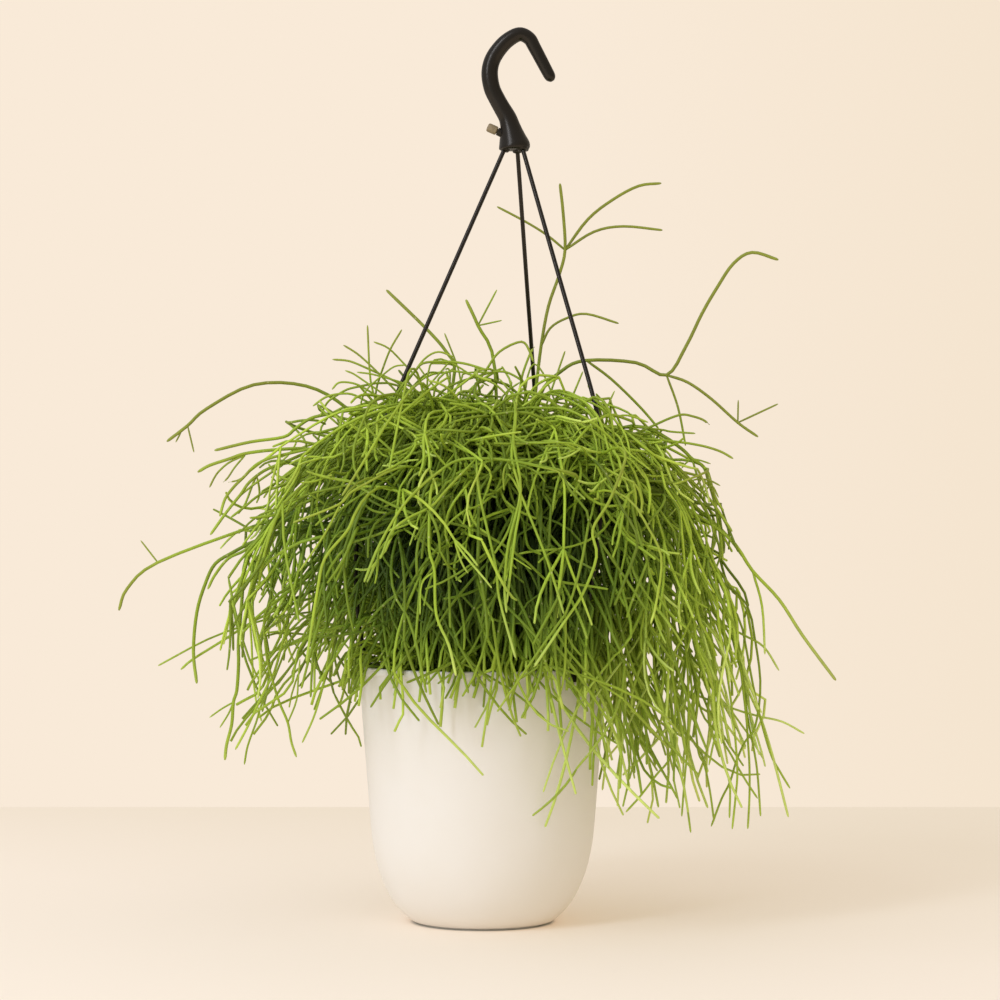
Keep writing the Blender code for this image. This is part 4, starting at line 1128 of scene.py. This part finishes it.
def through_pot(points):
    """Whether a line of places would cut through the pot."""
    low = [point for point in points if point[2] < MIX_TOP - SUNK_IN_MIX]
    return any(math.hypot(point[0], point[1]) < wall_at(point[2]) for point in low)


def in_outline(point, slack):
    """Whether a tip stays in the crown's outline, times a slack, and in the solids' box."""
    low, high = CAD_BOX
    if not all(low[i] - FOLIAGE_MARGIN < point[i] < high[i] + FOLIAGE_MARGIN for i in range(3)):
        return False
    azimuth = azimuth_of(point)
    return point[2] > hanging_at(azimuth)[3] and radius_of(point) < slack * reach_of(azimuth, point[2])


def kept_share(point):
    """The share of the branches that end at a place: fewer towards the crown's lower edge."""
    azimuth = azimuth_of(point)
    _, thin_below, thinnest, lowest = hanging_at(azimuth)
    return np.interp(point[2], (lowest, thin_below), (thinnest, 1.0)) ** (1.0 + frontal(azimuth))


def forked_ways(way, count, spread, rng):
    """Ways of a whorl's branches round the way that the stem grows."""
    axis = Vector(way).normalized()
    side = axis.orthogonal().normalized()
    third = axis.cross(side)
    turn = rng.uniform(0, 2 * math.pi)
    out = []
    for i in range(count):
        angle = turn + 2 * math.pi * i / count + rng.uniform(-FORK_TURNS, FORK_TURNS)
        tilt = spread * rng.uniform(*FORK_TILTS)
        across = side * math.cos(angle) + third * math.sin(angle)
        out.append(axis * math.cos(tilt) + across * math.sin(tilt))
    return out


def settled(way, base):
    """A branch's way, laid flatter where it would stand up."""
    if way.z > STEEPEST_RISE:
        flat = Vector((way.x, way.y, 0.0)) + outwards(azimuth_of(base)) * LAID_OUT
        way = flat.normalized() + Vector((0, 0, STEEPEST_RISE))
    return way.normalized()


def hanging_way(base, way, length, droop, sways):
    """Points along a branch that leaves base along way and bends down and aside, and its last way."""
    stations = [0.0, min(JOINT_SWELL, length * JOINT_SWELL_SHARE)]
    stations += [length * share for share in BRANCH_STATIONS]
    points = [Vector(base)]
    for near, far in zip(stations, stations[1:]):
        pull = Vector((0, 0, -1)) * droop + sways[0].lerp(sways[1], far / length)
        pull -= way * way.dot(pull)
        way = (way + pull * (far - near)).normalized()
        points.append(points[-1] + way * (far - near))
    return points, way


def aged(tone):
    """The share of its freshness that a stem of a tone keeps."""
    return OLD_FRESHNESS + (1 - OLD_FRESHNESS) * tone


def add_whorl(spray, base, ways, order, tone, rng, habit):
    """Adds a branch along each way, a little lighter or darker than the stem that it grows from."""
    for way in ways:
        own_tone = min(max(tone + rng.uniform(-TONE_STEP, TONE_STEP), 0.0), 1.0)
        add_branch(spray, base, way, order, own_tone, rng, habit)


def add_branch(spray, base, way, order, tone, rng, habit):
    """Adds a branch and the whorl on its end, and theirs, until the finest."""
    size, curl = habit
    low = base[2] < LOW_FROM
    if low:
        size *= LOW_LENGTHS
        curl *= LOW_CURL
    length = rng.uniform(*BRANCH_LENGTHS[order]) * size
    sways = [Vector([rng.gauss(0, SWAY[order] * curl) for _ in range(3)]) for _ in range(2)]
    slack = rng.uniform(*OUTLINE_SLACK)
    loose = rng.random() < LOOSE_CHANCE
    lifted = Vector((0.0, 0.0, LOOSE_RISE if loose else 0.0))
    azimuth = azimuth_of(base)
    pulled = Vector((-math.sin(azimuth), math.cos(azimuth), -1.0)) * PULL_IN
    for _ in range(TRIES):
        start_way = Vector(way) if loose else settled(Vector(way), base)
        points, way_out = hanging_way(base, start_way.normalized(), length, DROOP[order], sways)
        inside = in_outline(points[-1] - lifted, slack)
        if inside:
            break
        way = (Vector(way) + pulled).normalized()
    if through_pot(points) or (not inside and not in_outline(points[-1], STRAY_SLACK)):
        return
    if rng.random() > (kept_share(points[-1]) if inside else STRAY_CHANCE):
        return
    radius = STEM_RADII[order] * rng.uniform(*BRANCH_THICKNESSES)
    fork = rng.random() < FORK_CHANCE[order] * (LOW_FORKS if low else 1.0)
    end = points[-1] + way_out * (FORK_LENGTH if fork else TIP_LENGTH)
    shares = BRANCH_SHARES + (FORK_SHARES if fork else TIP_SHARES)
    places = clear_of_pot(np.array(points + [end]))
    foot_fresh, top_fresh = (share + FRESHER_BY_ORDER * order for share in BRANCH_FRESH)
    freshness = np.linspace(foot_fresh, top_fresh, len(places)) * aged(tone)
    spray.append((places, [radius * share for share in shares], tone, freshness))
    if fork:
        ways = forked_ways(way_out, rng.choice(FORK_COUNTS), FORK_SPREAD[order], rng)
        add_whorl(spray, places[-2], ways, order + 1, tone, rng, habit)


def waved(stations, rng):
    """Slow bends aside, one row for each station along a stem."""
    out = np.zeros((len(stations), 3))
    for _ in range(2):
        turn = Vector([rng.gauss(0, 1) for _ in range(3)]).normalized() * rng.gauss(0, WAVE)
        phase = rng.uniform(0, 2 * math.pi)
        bend = np.sin(phase + 2 * math.pi * stations / rng.uniform(*WAVE_LENGTHS)) - math.sin(phase)
        out += bend[:, None] * np.array(turn)
    return out


def add_stem(
    spray, line, bare, rng, tones=(0.0, 1.0), side_chance=SIDE_CHANCE, habit=USUAL_HABIT, ends=(2, 2, 3)
):
    """Adds a main stem along a fine line of places, with joints, bends and branches; its foot is bare."""
    steps = np.linalg.norm(np.diff(line, axis=0), axis=1)
    run = np.concatenate([[0.0], np.cumsum(steps)])
    joints = [0.0, min(bare, run[-1] * FOOT_SHARE)]
    while joints[-1] < run[-1] - INTERNODES[0]:
        joints.append(min(joints[-1] + rng.uniform(*INTERNODES), run[-1]))
    joints[-1] = run[-1]
    stations = []
    for number, (near, far) in enumerate(zip(joints, joints[1:])):
        parts = PARTS_IN_JOINT if number else PARTS_IN_FOOT
        stations += [near + (far - near) * i / parts for i in range(parts)]
    stations = np.array(stations + [run[-1]])
    places = np.stack([np.interp(stations, run, line[:, i]) for i in range(3)], axis=-1)
    offsets = np.array([[rng.gauss(0, KINK) for _ in range(3)] for _ in joints])
    offsets[0] = 0.0
    places += np.stack([np.interp(stations, joints, offsets[:, i]) for i in range(3)], axis=-1)
    places += waved(stations, rng)
    if through_pot(places):
        return
    places = clear_of_pot(places)
    tone = rng.uniform(*tones)
    radius = STEM_RADII[0] * rng.uniform(*THICKNESSES)
    nearest = np.min(np.abs(stations[:, None] - np.array(joints[1:-1] or [-1.0])[None, :]), axis=1)
    narrowed = np.where(nearest < 1e-6, JOINT_NARROWING, 1.0)
    radii = radius * narrowed * np.linspace(1.0, TOP_THICKNESS, len(stations))
    spray.append((places, radii, tone, np.linspace(*FRESH, len(places)) * aged(tone)))
    for joint in joints[1:]:
        i = int(np.argmin(np.abs(stations - joint)))
        way = Vector(places[min(i + 1, len(places) - 1)] - places[i - 1]).normalized()
        last = joint == joints[-1]
        if not last and (way.z > NO_SIDE_ABOVE or rng.random() > side_chance):
            continue
        spread = FORK_SPREAD[0] * (1 + SPREAD_CURLED * (habit[1] - 1))
        ways = forked_ways(way, rng.choice(ends) if last else 1, spread, rng)
        add_whorl(spray, places[i], ways, 1, tone, rng, habit)


def crown_line(azimuth, side_start, drift, profile, late=0.9):
    """A stem's fine line in the world from its (r, z) profile, drifting to its side as it goes."""
    t = np.linspace(0, 1, len(profile))
    v = side_start * (1 - t) + drift * t**late
    return crown_point(azimuth, profile[:, 0], v, profile[:, 1])


def within(middle, rng):
    """An azimuth anywhere in the sector with this middle."""
    return middle + rng.uniform(-0.5, 0.5) * SECTOR_ANGLE


# The arching stems: how many a sector has, and how many fewer in front, to the left and to the
# right; how far out and how high they end, as shares of the outline; and where they bend.
ARCHES = 20
ARCHES_FEWER = (11, 5, 2)
ARCH_CLUMPS = 5
ARCH_CLUMP_SPREAD = 0.035
ARCH_NEAREST = 0.50
ARCH_SPAN = 0.48
ARCH_CROWDING = 0.9
ARCH_INNER_RISE = 0.050
ARCH_HIGHEST_END = 0.262
ARCH_LOWER_TO_RIGHT = 0.5
ARCH_HANDLES = (0.46, 0.86)
ARCH_HANDLES_RIGHT = 0.20
ARCH_CREST_AT = 0.85
ARCH_UNDER_DOME = (0.006, 0.040)
ARCH_OVER_END = 0.010
ARCH_STARTS = (0.020, 0.052)
ARCH_RISES = (0.02, 0.22)
ARCH_STEPS = 60
ARCH_DRIFT = 0.021
ARCH_DRIFT_IN_FRONT = 0.015
SIDE_START = 0.006
OLD_TONES = (0.0, 0.20)
OLD_IN_FRONT = 0.84
PALER_TO_RIGHT = 0.30


def add_arches(spray, middle, rng):
    """The stems that arch over the rim and hang, in loose clumps, out to the crown's outline."""
    open_front = frontal(middle)
    right = max(math.sin(middle), 0.0)
    left = max(-math.sin(middle), 0.0)
    count = round(ARCHES - ARCHES_FEWER[0] * open_front - ARCHES_FEWER[1] * left - ARCHES_FEWER[2] * right)
    clumps = [rng.uniform(-0.5, 0.5) * SECTOR_ANGLE for _ in range(ARCH_CLUMPS)]
    shares = [ARCH_NEAREST + ARCH_SPAN * ((i + rng.random()) / count) ** ARCH_CROWDING for i in range(count)]
    drops = [(i + rng.random()) / count for i in range(count)]
    rng.shuffle(drops)
    for share, drop in zip(shares, drops):
        azimuth = middle + rng.choice(clumps) + rng.gauss(0, ARCH_CLUMP_SPREAD)
        floor = hanging_at(azimuth)[0] + ARCH_INNER_RISE * (1 - share)
        end_z = floor + (ARCH_HIGHEST_END - floor) * drop ** (1.0 + ARCH_LOWER_TO_RIGHT * right)
        end_r = reach_of(azimuth, end_z) * share
        handle_r = end_r * rng.uniform(ARCH_HANDLES[0], ARCH_HANDLES[1] - ARCH_HANDLES_RIGHT * right)
        crest = dome_height(azimuth, handle_r * ARCH_CREST_AT) - rng.uniform(*ARCH_UNDER_DOME)
        start_r = rng.uniform(*ARCH_STARTS)
        # The middle of a cubic curve lies at an eighth of its two ends and 3/4 of its handles.
        height = max((crest - (STEM_START + end_z) / 8) / 0.75, end_z + ARCH_OVER_END)
        first = (start_r + rng.uniform(*ARCH_RISES) * (end_r - start_r), height)
        profile = bowed([(start_r, STEM_START), first, (handle_r, height), (end_r, end_z)], ARCH_STEPS)
        side_start = rng.uniform(-SIDE_START, SIDE_START)
        drift = rng.gauss(0, ARCH_DRIFT + ARCH_DRIFT_IN_FRONT * open_front)
        line = crown_line(azimuth, side_start, drift, profile)
        tones = OLD_TONES if rng.random() < OLD_IN_FRONT * open_front else (PALER_TO_RIGHT * right, 1.0)
        add_stem(spray, line, rng.uniform(*FIRST_INTERNODE), rng, tones)


# The short stems of the crown's top: their ends just under the dome, and their handles as
# (outwards, up) from where they start and end.
TOP_STEMS = 15
TOP_STARTS = (0.010, 0.045)
TOP_NEAREST = 0.020
TOP_WIDEST = 0.105
TOP_NARROWER_IN_FRONT = 0.030
TOP_UNDER_DOME = (0.005, 0.025)
TOP_HANDLES = ((-0.006, 0.100), (-0.040, 0.010))
TOP_DRIFT = 0.012
TOP_BARE = 0.110
PROFILE_STEPS = 50


def add_crown(spray, middle, rng):
    """The short stems that end all over the top of the crown in tangled arcs."""
    widest = TOP_WIDEST - TOP_NARROWER_IN_FRONT * frontal(middle)
    for i in range(TOP_STEMS):
        azimuth = within(middle, rng)
        start_r = rng.uniform(*TOP_STARTS)
        end_r = TOP_NEAREST + (widest - TOP_NEAREST) * (i + rng.random()) / TOP_STEMS
        end_z = dome_height(azimuth, end_r) - rng.uniform(*TOP_UNDER_DOME)
        first = (start_r + TOP_HANDLES[0][0], STEM_START + TOP_HANDLES[0][1])
        second = (end_r + TOP_HANDLES[1][0], end_z + TOP_HANDLES[1][1])
        profile = bowed([(start_r, STEM_START), first, second, (end_r, end_z)], PROFILE_STEPS)
        line = crown_line(azimuth, rng.uniform(-SIDE_START, SIDE_START), rng.gauss(0, TOP_DRIFT), profile)
        tones = (0.2, 1.0 - 0.25 * frontal(azimuth))
        add_stem(spray, line, TOP_BARE, rng, tones, side_chance=0.5, habit=CROWN_HABIT, ends=(1, 2, 2, 3))


def strands_beside(middle):
    """The azimuths of the hanger strands at a sector's edges."""
    ways = STRAND_AZIMUTHS.values()
    return [way for way in ways if abs(math.remainder(way - middle, 2 * math.pi)) < 0.6 * SECTOR_ANGLE]


# The stems of the brow: they rise over the open front or a strand and turn aside late.
BROW_STEMS = 8
BROW_STEMS_BY_STRAND = 5
BROW_STARTS = (0.010, 0.040)
BROW_NEAREST = 0.040
BROW_FARTHEST = 0.090
BROW_FARTHEST_IN_FRONT = 0.072
BROW_ASIDE = (0.030, 0.072)
BROW_UNDER_DOME = (0.010, 0.040)
BROW_DOME_OUT = 0.008
BROW_RISE = (0.008, 0.022)
BROW_HANDLES = (0.010, 0.012)
BROW_LATE = 2.2
BROW_BARE = 0.100
BROW_OLD = 0.8


def add_brow(spray, middle, rng):
    """The stems that lie across the top of the open front and over the strands."""
    beside = len(strands_beside(middle))
    for _ in range(max(round(BROW_STEMS * frontal(middle)), BROW_STEMS_BY_STRAND * beside)):
        azimuth = within(middle, rng)
        start_r = rng.uniform(*BROW_STARTS)
        end_r = rng.uniform(BROW_NEAREST, BROW_FARTHEST_IN_FRONT if frontal(middle) > 0.5 else BROW_FARTHEST)
        aside = rng.choice((-1, 1)) * rng.uniform(*BROW_ASIDE)
        dome = dome_height(azimuth, math.hypot(end_r, aside) + BROW_DOME_OUT)
        end_z = dome - rng.uniform(*BROW_UNDER_DOME)
        height = end_z + rng.uniform(*BROW_RISE)
        first = (start_r + BROW_HANDLES[0], height)
        second = (end_r + BROW_HANDLES[1], height)
        profile = bowed([(start_r, STEM_START), first, second, (end_r, end_z)], PROFILE_STEPS)
        line = crown_line(azimuth, 0.0, aside, profile, BROW_LATE)
        tones = OLD_TONES if rng.random() < BROW_OLD else (0.0, 1.0)
        add_stem(spray, line, BROW_BARE, rng, tones, side_chance=0.4, habit=CROWN_HABIT)


# The inner stems: more of them in front and to the left, where the crown is seen into.
INNER_STEMS = 10
INNER_MORE = (6, 5)
INNER_STARTS = (0.015, 0.050)
INNER_REACHES = (0.055, 0.100)
INNER_LOWEST = 0.168
INNER_LOWEST_BY_RIM = 0.158
INNER_BY_RIM = 0.068
INNER_RISE = 0.055
INNER_FIRST_HEIGHT = 0.270
INNER_SECOND_HEIGHTS = (0.240, 0.280)
INNER_SECOND_SHARE = 0.9
INNER_DRIFT = 0.014
INNER_BARE = 0.060
INNER_TONES = (0.0, 0.25)


def add_inner(spray, middle, rng):
    """The older stems that fill the crown inside and hang short of its outline."""
    count = round(INNER_STEMS + INNER_MORE[0] * frontal(middle) + INNER_MORE[1] * max(-math.sin(middle), 0.0))
    for i in range(count):
        azimuth = within(middle, rng)
        start_r = rng.uniform(*INNER_STARTS)
        end_r = rng.uniform(*INNER_REACHES)
        second = (end_r * INNER_SECOND_SHARE, rng.uniform(*INNER_SECOND_HEIGHTS))
        lowest = INNER_LOWEST_BY_RIM if end_r < INNER_BY_RIM else INNER_LOWEST
        end = (end_r, lowest + INNER_RISE * i / count)
        profile = bowed([(start_r, STEM_START), (start_r, INNER_FIRST_HEIGHT), second, end], PROFILE_STEPS)
        line = crown_line(azimuth, 0.0, rng.gauss(0, INNER_DRIFT), profile)
        add_stem(spray, line, INNER_BARE, rng, INNER_TONES)


# The stems at the rim: how much of each lies bare before its first joint, how many of each kind a
# sector has, and how near to a strand the ones beside it stand.
RIM_BARE = 0.060
RIM_STEMS = 4
RIM_STEMS_FEWER_IN_FRONT = 2
LONG_TIPS_TO_LEFT = 2
CLOSE_STEMS = 4
CLOSE_STEMS_BY_STRAND = 5
BY_STRAND = 0.13
FRONT_TIPS = 5


def add_fall(spray, azimuth, rng, starts, reaches, heights, handles, drift, bare, steps, **habits):
    """Adds a stem over the rim, from a start radius to an end radius and height in these ranges."""
    start_r = rng.uniform(*starts)
    end = (rng.uniform(*reaches), rng.uniform(*heights))
    profile = bowed([(start_r, STEM_START), *handles(start_r, *end), end], steps)
    add_stem(spray, crown_line(azimuth, 0.0, rng.gauss(0, drift), profile), bare, rng, **habits)


def add_rim_stems(spray, middle, rng):
    """The stems that fall over the rim close to the pot, and the few long tips in front of it."""
    open_front = frontal(middle)
    for _ in range(round(RIM_STEMS - RIM_STEMS_FEWER_IN_FRONT * open_front)):
        azimuth = within(middle, rng)
        lowest = hanging_at(azimuth)[0]
        add_fall(
            spray, azimuth, rng,
            starts=(0.030, 0.055), reaches=(0.084, 0.112), heights=(lowest, lowest + 0.060),
            handles=lambda start, r, z: ((start + 0.015, 0.225), (r * 0.95, 0.225)), drift=0.010,
            bare=RIM_BARE, steps=PROFILE_STEPS, tones=(0.2, 1.0),
        )
    for _ in range(round(LONG_TIPS_TO_LEFT * max(-math.sin(middle), 0.0))):
        add_fall(
            spray, within(middle, rng), rng,
            starts=(0.045, 0.058), reaches=(0.115, 0.160), heights=(0.105, 0.140),
            handles=lambda start, r, z: ((start + 0.020, 0.215), (r - 0.030, z + 0.060)), drift=0.014,
            bare=RIM_BARE, steps=PROFILE_STEPS, tones=(0.1, 0.8), side_chance=0.15, ends=(1,),
        )
    beside = strands_beside(middle)
    for i in range(CLOSE_STEMS + CLOSE_STEMS_BY_STRAND * len(beside)):
        azimuth = within(middle, rng)
        if i >= CLOSE_STEMS:
            azimuth = beside[0] + rng.uniform(-BY_STRAND, BY_STRAND)
        add_fall(
            spray, azimuth, rng,
            starts=(0.048, 0.060), reaches=(0.080, 0.086), heights=(0.132, 0.152),
            handles=lambda start, r, z: ((start + 0.006, 0.172), (r - 0.003, 0.172)), drift=0.014,
            bare=0.040, steps=40, tones=(0.2, 0.9), side_chance=0.2, ends=(1, 1, 2),
        )
    for _ in range(round(FRONT_TIPS * open_front)):
        add_fall(
            spray, within(middle, rng), rng,
            starts=(0.040, 0.058), reaches=(0.082, 0.100), heights=(0.112, 0.152),
            handles=lambda start, r, z: ((start + 0.012, 0.235), (r, 0.225)), drift=0.012,
            bare=RIM_BARE, steps=PROFILE_STEPS, tones=(0.5, 1.0), side_chance=0.15, ends=(1, 2),
        )


def sector_spray(k):
    """All the stems of one sector round the crown."""
    rng = random.Random(780 + k)
    spray = []
    for add_some in (add_arches, add_crown, add_brow, add_inner, add_rim_stems):
        add_some(spray, sector_azimuth(k), rng)
    return spray


# The centre's stems: their ends under the dome, and their handles' heights.
CENTRE_STEMS = 14
CENTRE_STARTS = (0.002, 0.012)
CENTRE_REACHES = (0.010, 0.040)
CENTRE_UNDER_DOME = (0.014, 0.038)
CENTRE_HANDLE_HEIGHTS = (0.200, 0.300)
CENTRE_HANDLE_SHARE = 0.4
CENTRE_STEPS = 40
CENTRE_DRIFT = 0.004


def centre_spray():
    """The stems in the middle of the crown, which stand nearly upright and open at the top."""
    rng = random.Random(77)
    spray = []
    for i in range(CENTRE_STEMS):
        azimuth = 2 * math.pi * i / CENTRE_STEMS + rng.uniform(-0.2, 0.2)
        start_r = rng.uniform(*CENTRE_STARTS)
        end_r = rng.uniform(*CENTRE_REACHES)
        end_z = dome_height(azimuth, end_r) - rng.uniform(*CENTRE_UNDER_DOME)
        first = (start_r, CENTRE_HANDLE_HEIGHTS[0])
        second = (end_r * CENTRE_HANDLE_SHARE, CENTRE_HANDLE_HEIGHTS[1])
        profile = bowed([(start_r, STEM_START), first, second, (end_r, end_z)], CENTRE_STEPS)
        line = crown_line(azimuth, 0.0, rng.gauss(0, CENTRE_DRIFT), profile)
        add_stem(spray, line, TOP_BARE, rng, habit=CROWN_HABIT)
    return spray


def led_up(path, root):
    """A free stem's places with the hidden run that leads up to them from its root."""
    first = Vector(path[0])
    way = (Vector(path[1]) - first).normalized()
    foot = Vector((root[0], root[1], STEM_START))
    rise = Vector((0, 0, LEAD_RISE[0] + LEAD_RISE[1] * (first.z - STEM_START)))
    lead = bowed([foot, foot + rise, first - way * LEAD_END, first], LEAD_STEPS)
    return np.vstack([lead[:-1], through(path, FREE_STEPS)])


def add_free_stems(spray, k):
    """The single stems of a sector: each main line with its lead, then its branches."""
    rng = random.Random(900 + k)
    for group in FREE_STEMS + flat_stems:
        if sector_of(Vector(group[0][0]) / 1000) != k:
            continue
        in_front = min(point[1] for point in group[0]) < IN_FRONT_MM
        in_fringe = group[0][-1][2] < IN_FRINGE_MM
        thickest = FREE_RADII_IN_FRINGE if in_fringe else FREE_RADII_IN_FRONT if in_front else FREE_RADII
        tone = rng.uniform(*(FREE_TONES_IN_FRONT if in_front else FREE_TONES))
        for number, path in enumerate(group):
            places = [Vector(place) / 1000 for place in path]
            line = through(places, FREE_STEPS) if number else led_up(places, root_places[k])
            back = (line[-2] - line[-1]) / np.linalg.norm(line[-2] - line[-1])
            line = np.vstack([line[:-1], line[-1] + back * FREE_TIP, line[-1:]])
            t = np.linspace(0, 1, len(line))
            length = sum((b - a).length for a, b in zip(places, places[1:]))
            thick = thickest[number > 0] * np.interp(length, *FREE_THINNER)
            radii = thick * np.interp(t, *FREE_TAPER)
            radii[-2:] *= FREE_END_SHARES
            foot_fresh = FREE_BRANCH_FRESH if number else FREE_FRESH[0]
            top_fresh = FREE_FRESH_IN_FRINGE if in_fringe else FREE_FRESH[1]
            freshness = np.linspace(foot_fresh, top_fresh, len(line))
            spray.append((clear_of_pot(line), radii, tone, freshness))


# Succulent stem skin: a waxy cuticle over green flesh, dark and dull on old wood, fresher green on the joints
# and pale at the tips, mottled every few millimetres, with areoles as pale specks. Painted shade darkens and
# greens the stems inside the crown, and painted light makes the low stems paler along with their young
# growth. The specks are drawn about twice as large as the real half millimetre, so that they show.
stem_skin_painted_light_and_shade, tree, shader = plain_finish("waxy_succulent_skin_painted_light_and_shade", GREEN_MID, 0.48)
shader.inputs["Specular IOR Level"].default_value = 0.22
where = add_node(tree, "ShaderNodeTexCoord", {}, {}).outputs["Object"]
tone = add_node(tree, "ShaderNodeAttribute", {"attribute_name": "tone"}, {}).outputs["Fac"]
fresh_and_low_lit = add_node(tree, "ShaderNodeAttribute", {"attribute_name": "fresh_and_low_lit"}, {}).outputs["Fac"]
painted_shade_and_sun = add_node(tree, "ShaderNodeAttribute", {"attribute_name": "painted_shade_and_sun"}, {}).outputs["Fac"]
old = add_node(
    tree, "ShaderNodeMix", {"data_type": "RGBA"},
    {0: tone, 6: linear(GREEN_OLD), 7: linear(GREEN_OLD_FRESHER)},
)
young = add_node(
    tree, "ShaderNodeMix", {"data_type": "RGBA"},
    {0: tone, 6: linear(GREEN_MID), 7: linear(GREEN_LIGHT)},
)
grown = add_node(
    tree, "ShaderNodeMix", {"data_type": "RGBA"},
    {0: fresh_and_low_lit, 6: old.outputs[2], 7: young.outputs[2]},
)
tip_share = add_node(
    tree, "ShaderNodeMapRange", {"interpolation_type": "SMOOTHSTEP"},
    {"Value": fresh_and_low_lit, "From Min": 0.62, "From Max": 1.0, "To Min": 0.0, "To Max": 0.55},
)
tipped = add_node(
    tree, "ShaderNodeMix", {"data_type": "RGBA"},
    {0: tip_share.outputs[0], 6: grown.outputs[2], 7: linear(GREEN_TIP)},
)
sunned_share = add_node(
    tree, "ShaderNodeMapRange", {}, {"Value": painted_shade_and_sun, "From Min": 0.0, "From Max": -1.0, "To Max": 0.62}
)
sunned = add_node(
    tree, "ShaderNodeMix", {"data_type": "RGBA"},
    {0: sunned_share.outputs[0], 6: tipped.outputs[2], 7: linear(GREEN_SUNNED)},
)
# Painted shade: stems a little inside the crown are tinted greener.
painted_shade_tint_share = add_node(tree, "ShaderNodeMapRange", {}, {"Value": painted_shade_and_sun, "From Max": PAINTED_SHADE_TINT_OVER})
painted_shade_tinted = add_node(
    tree, "ShaderNodeMix", {"data_type": "RGBA", "blend_type": "MULTIPLY"},
    {0: painted_shade_tint_share.outputs[0], 6: sunned.outputs[2], 7: linear(PAINTED_SHADE_TINT)},
)
# Painted shade: stems inside the crown are mixed towards a dark green.
shaded = add_node(
    tree, "ShaderNodeMix", {"data_type": "RGBA"}, {0: painted_shade_and_sun, 6: painted_shade_tinted.outputs[2], 7: linear(GREEN_PAINTED_SHADE)}
)
mottle = add_node(tree, "ShaderNodeTexNoise", {}, {"Vector": where, "Scale": 1000 / MOTTLE_MM, "Detail": 3.0})
shade = add_node(tree, "ShaderNodeMapRange", {}, {"Value": mottle.outputs[0], "To Min": 0.82, "To Max": 1.26})
mottled = add_node(
    tree, "ShaderNodeVectorMath", {"operation": "SCALE"}, {0: shaded.outputs[2], "Scale": shade.outputs[0]}
)
specks = add_node(tree, "ShaderNodeTexVoronoi", {}, {"Vector": where, "Scale": 1000 / AREOLES_APART_MM})
speck_share = add_node(
    tree, "ShaderNodeMapRange", {},
    {"Value": specks.outputs["Distance"], "From Min": 0.07, "From Max": 0.12, "To Min": 0.4, "To Max": 0.0},
)
speckled = add_node(
    tree, "ShaderNodeMix", {"data_type": "RGBA"},
    {0: speck_share.outputs[0], 6: mottled.outputs[0], 7: linear(AREOLE)},
)
wax = add_node(tree, "ShaderNodeMapRange", {}, {"Value": mottle.outputs[0], "To Min": 0.40, "To Max": 0.56})
ripple = add_node(
    tree, "ShaderNodeBump", {}, {"Height": mottle.outputs[0], "Strength": 0.25, "Distance": 0.0005}
)
tree.links.new(speckled.outputs[2], shader.inputs["Base Color"])
tree.links.new(wax.outputs[0], shader.inputs["Roughness"])
tree.links.new(ripple.outputs[0], shader.inputs["Normal"])

for k in range(SECTORS + 1):
    centre = k == SECTORS
    node = "spray_centre" if centre else f"spray_{k + 1:02d}"
    spray = centre_spray() if centre else sector_spray(k)
    add_free_stems(spray, k)
    x, y = root_places[k]
    foot = np.array([(x, y, ROOT_BOTTOM), (x, y, STEM_START + ROOT_SWELL), (x + lean(ROOT_TOP), y, ROOT_TOP)])
    spray.append((foot, [ROOT_RADIUS * share for share in ROOT_SHARES], 0.0, np.zeros(3)))
    tones = np.concatenate([np.full(len(points), own_tone) for points, _, own_tone, _ in spray])
    everywhere = np.concatenate([points for points, _, _, _ in spray])
    fresh_and_lit_values = np.concatenate([freshness for _, _, _, freshness in spray])
    # Painted light: the low stems are painted fresher and paler, partly as young growth, less so to the left.
    less_young_and_lit = np.clip(-everywhere[:, 0] / LEAST_YOUNG_AND_LIT_LEFT, 0.0, 1.0)
    fresh_and_lit_values += np.interp(everywhere[:, 2], *YOUNG_AND_LIT_LOW) * (1 - LESS_YOUNG_AND_LIT_TO_LEFT * less_young_and_lit)
    # The marks carry painted shade inside the crown and painted light on the low stems.
    marks = (("tone", tones), ("fresh_and_low_lit", fresh_and_lit_values), ("painted_shade_and_sun", painted_shade_and_sun_of(everywhere)))
    bm = round_bars(node, [(points, radii) for points, radii, _, _ in spray], STEM_LEVEL, marks)
    piece = piece_of(bm, "stems_" + node, stem_skin_painted_light_and_shade)
    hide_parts(node)
    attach(piece, "root")
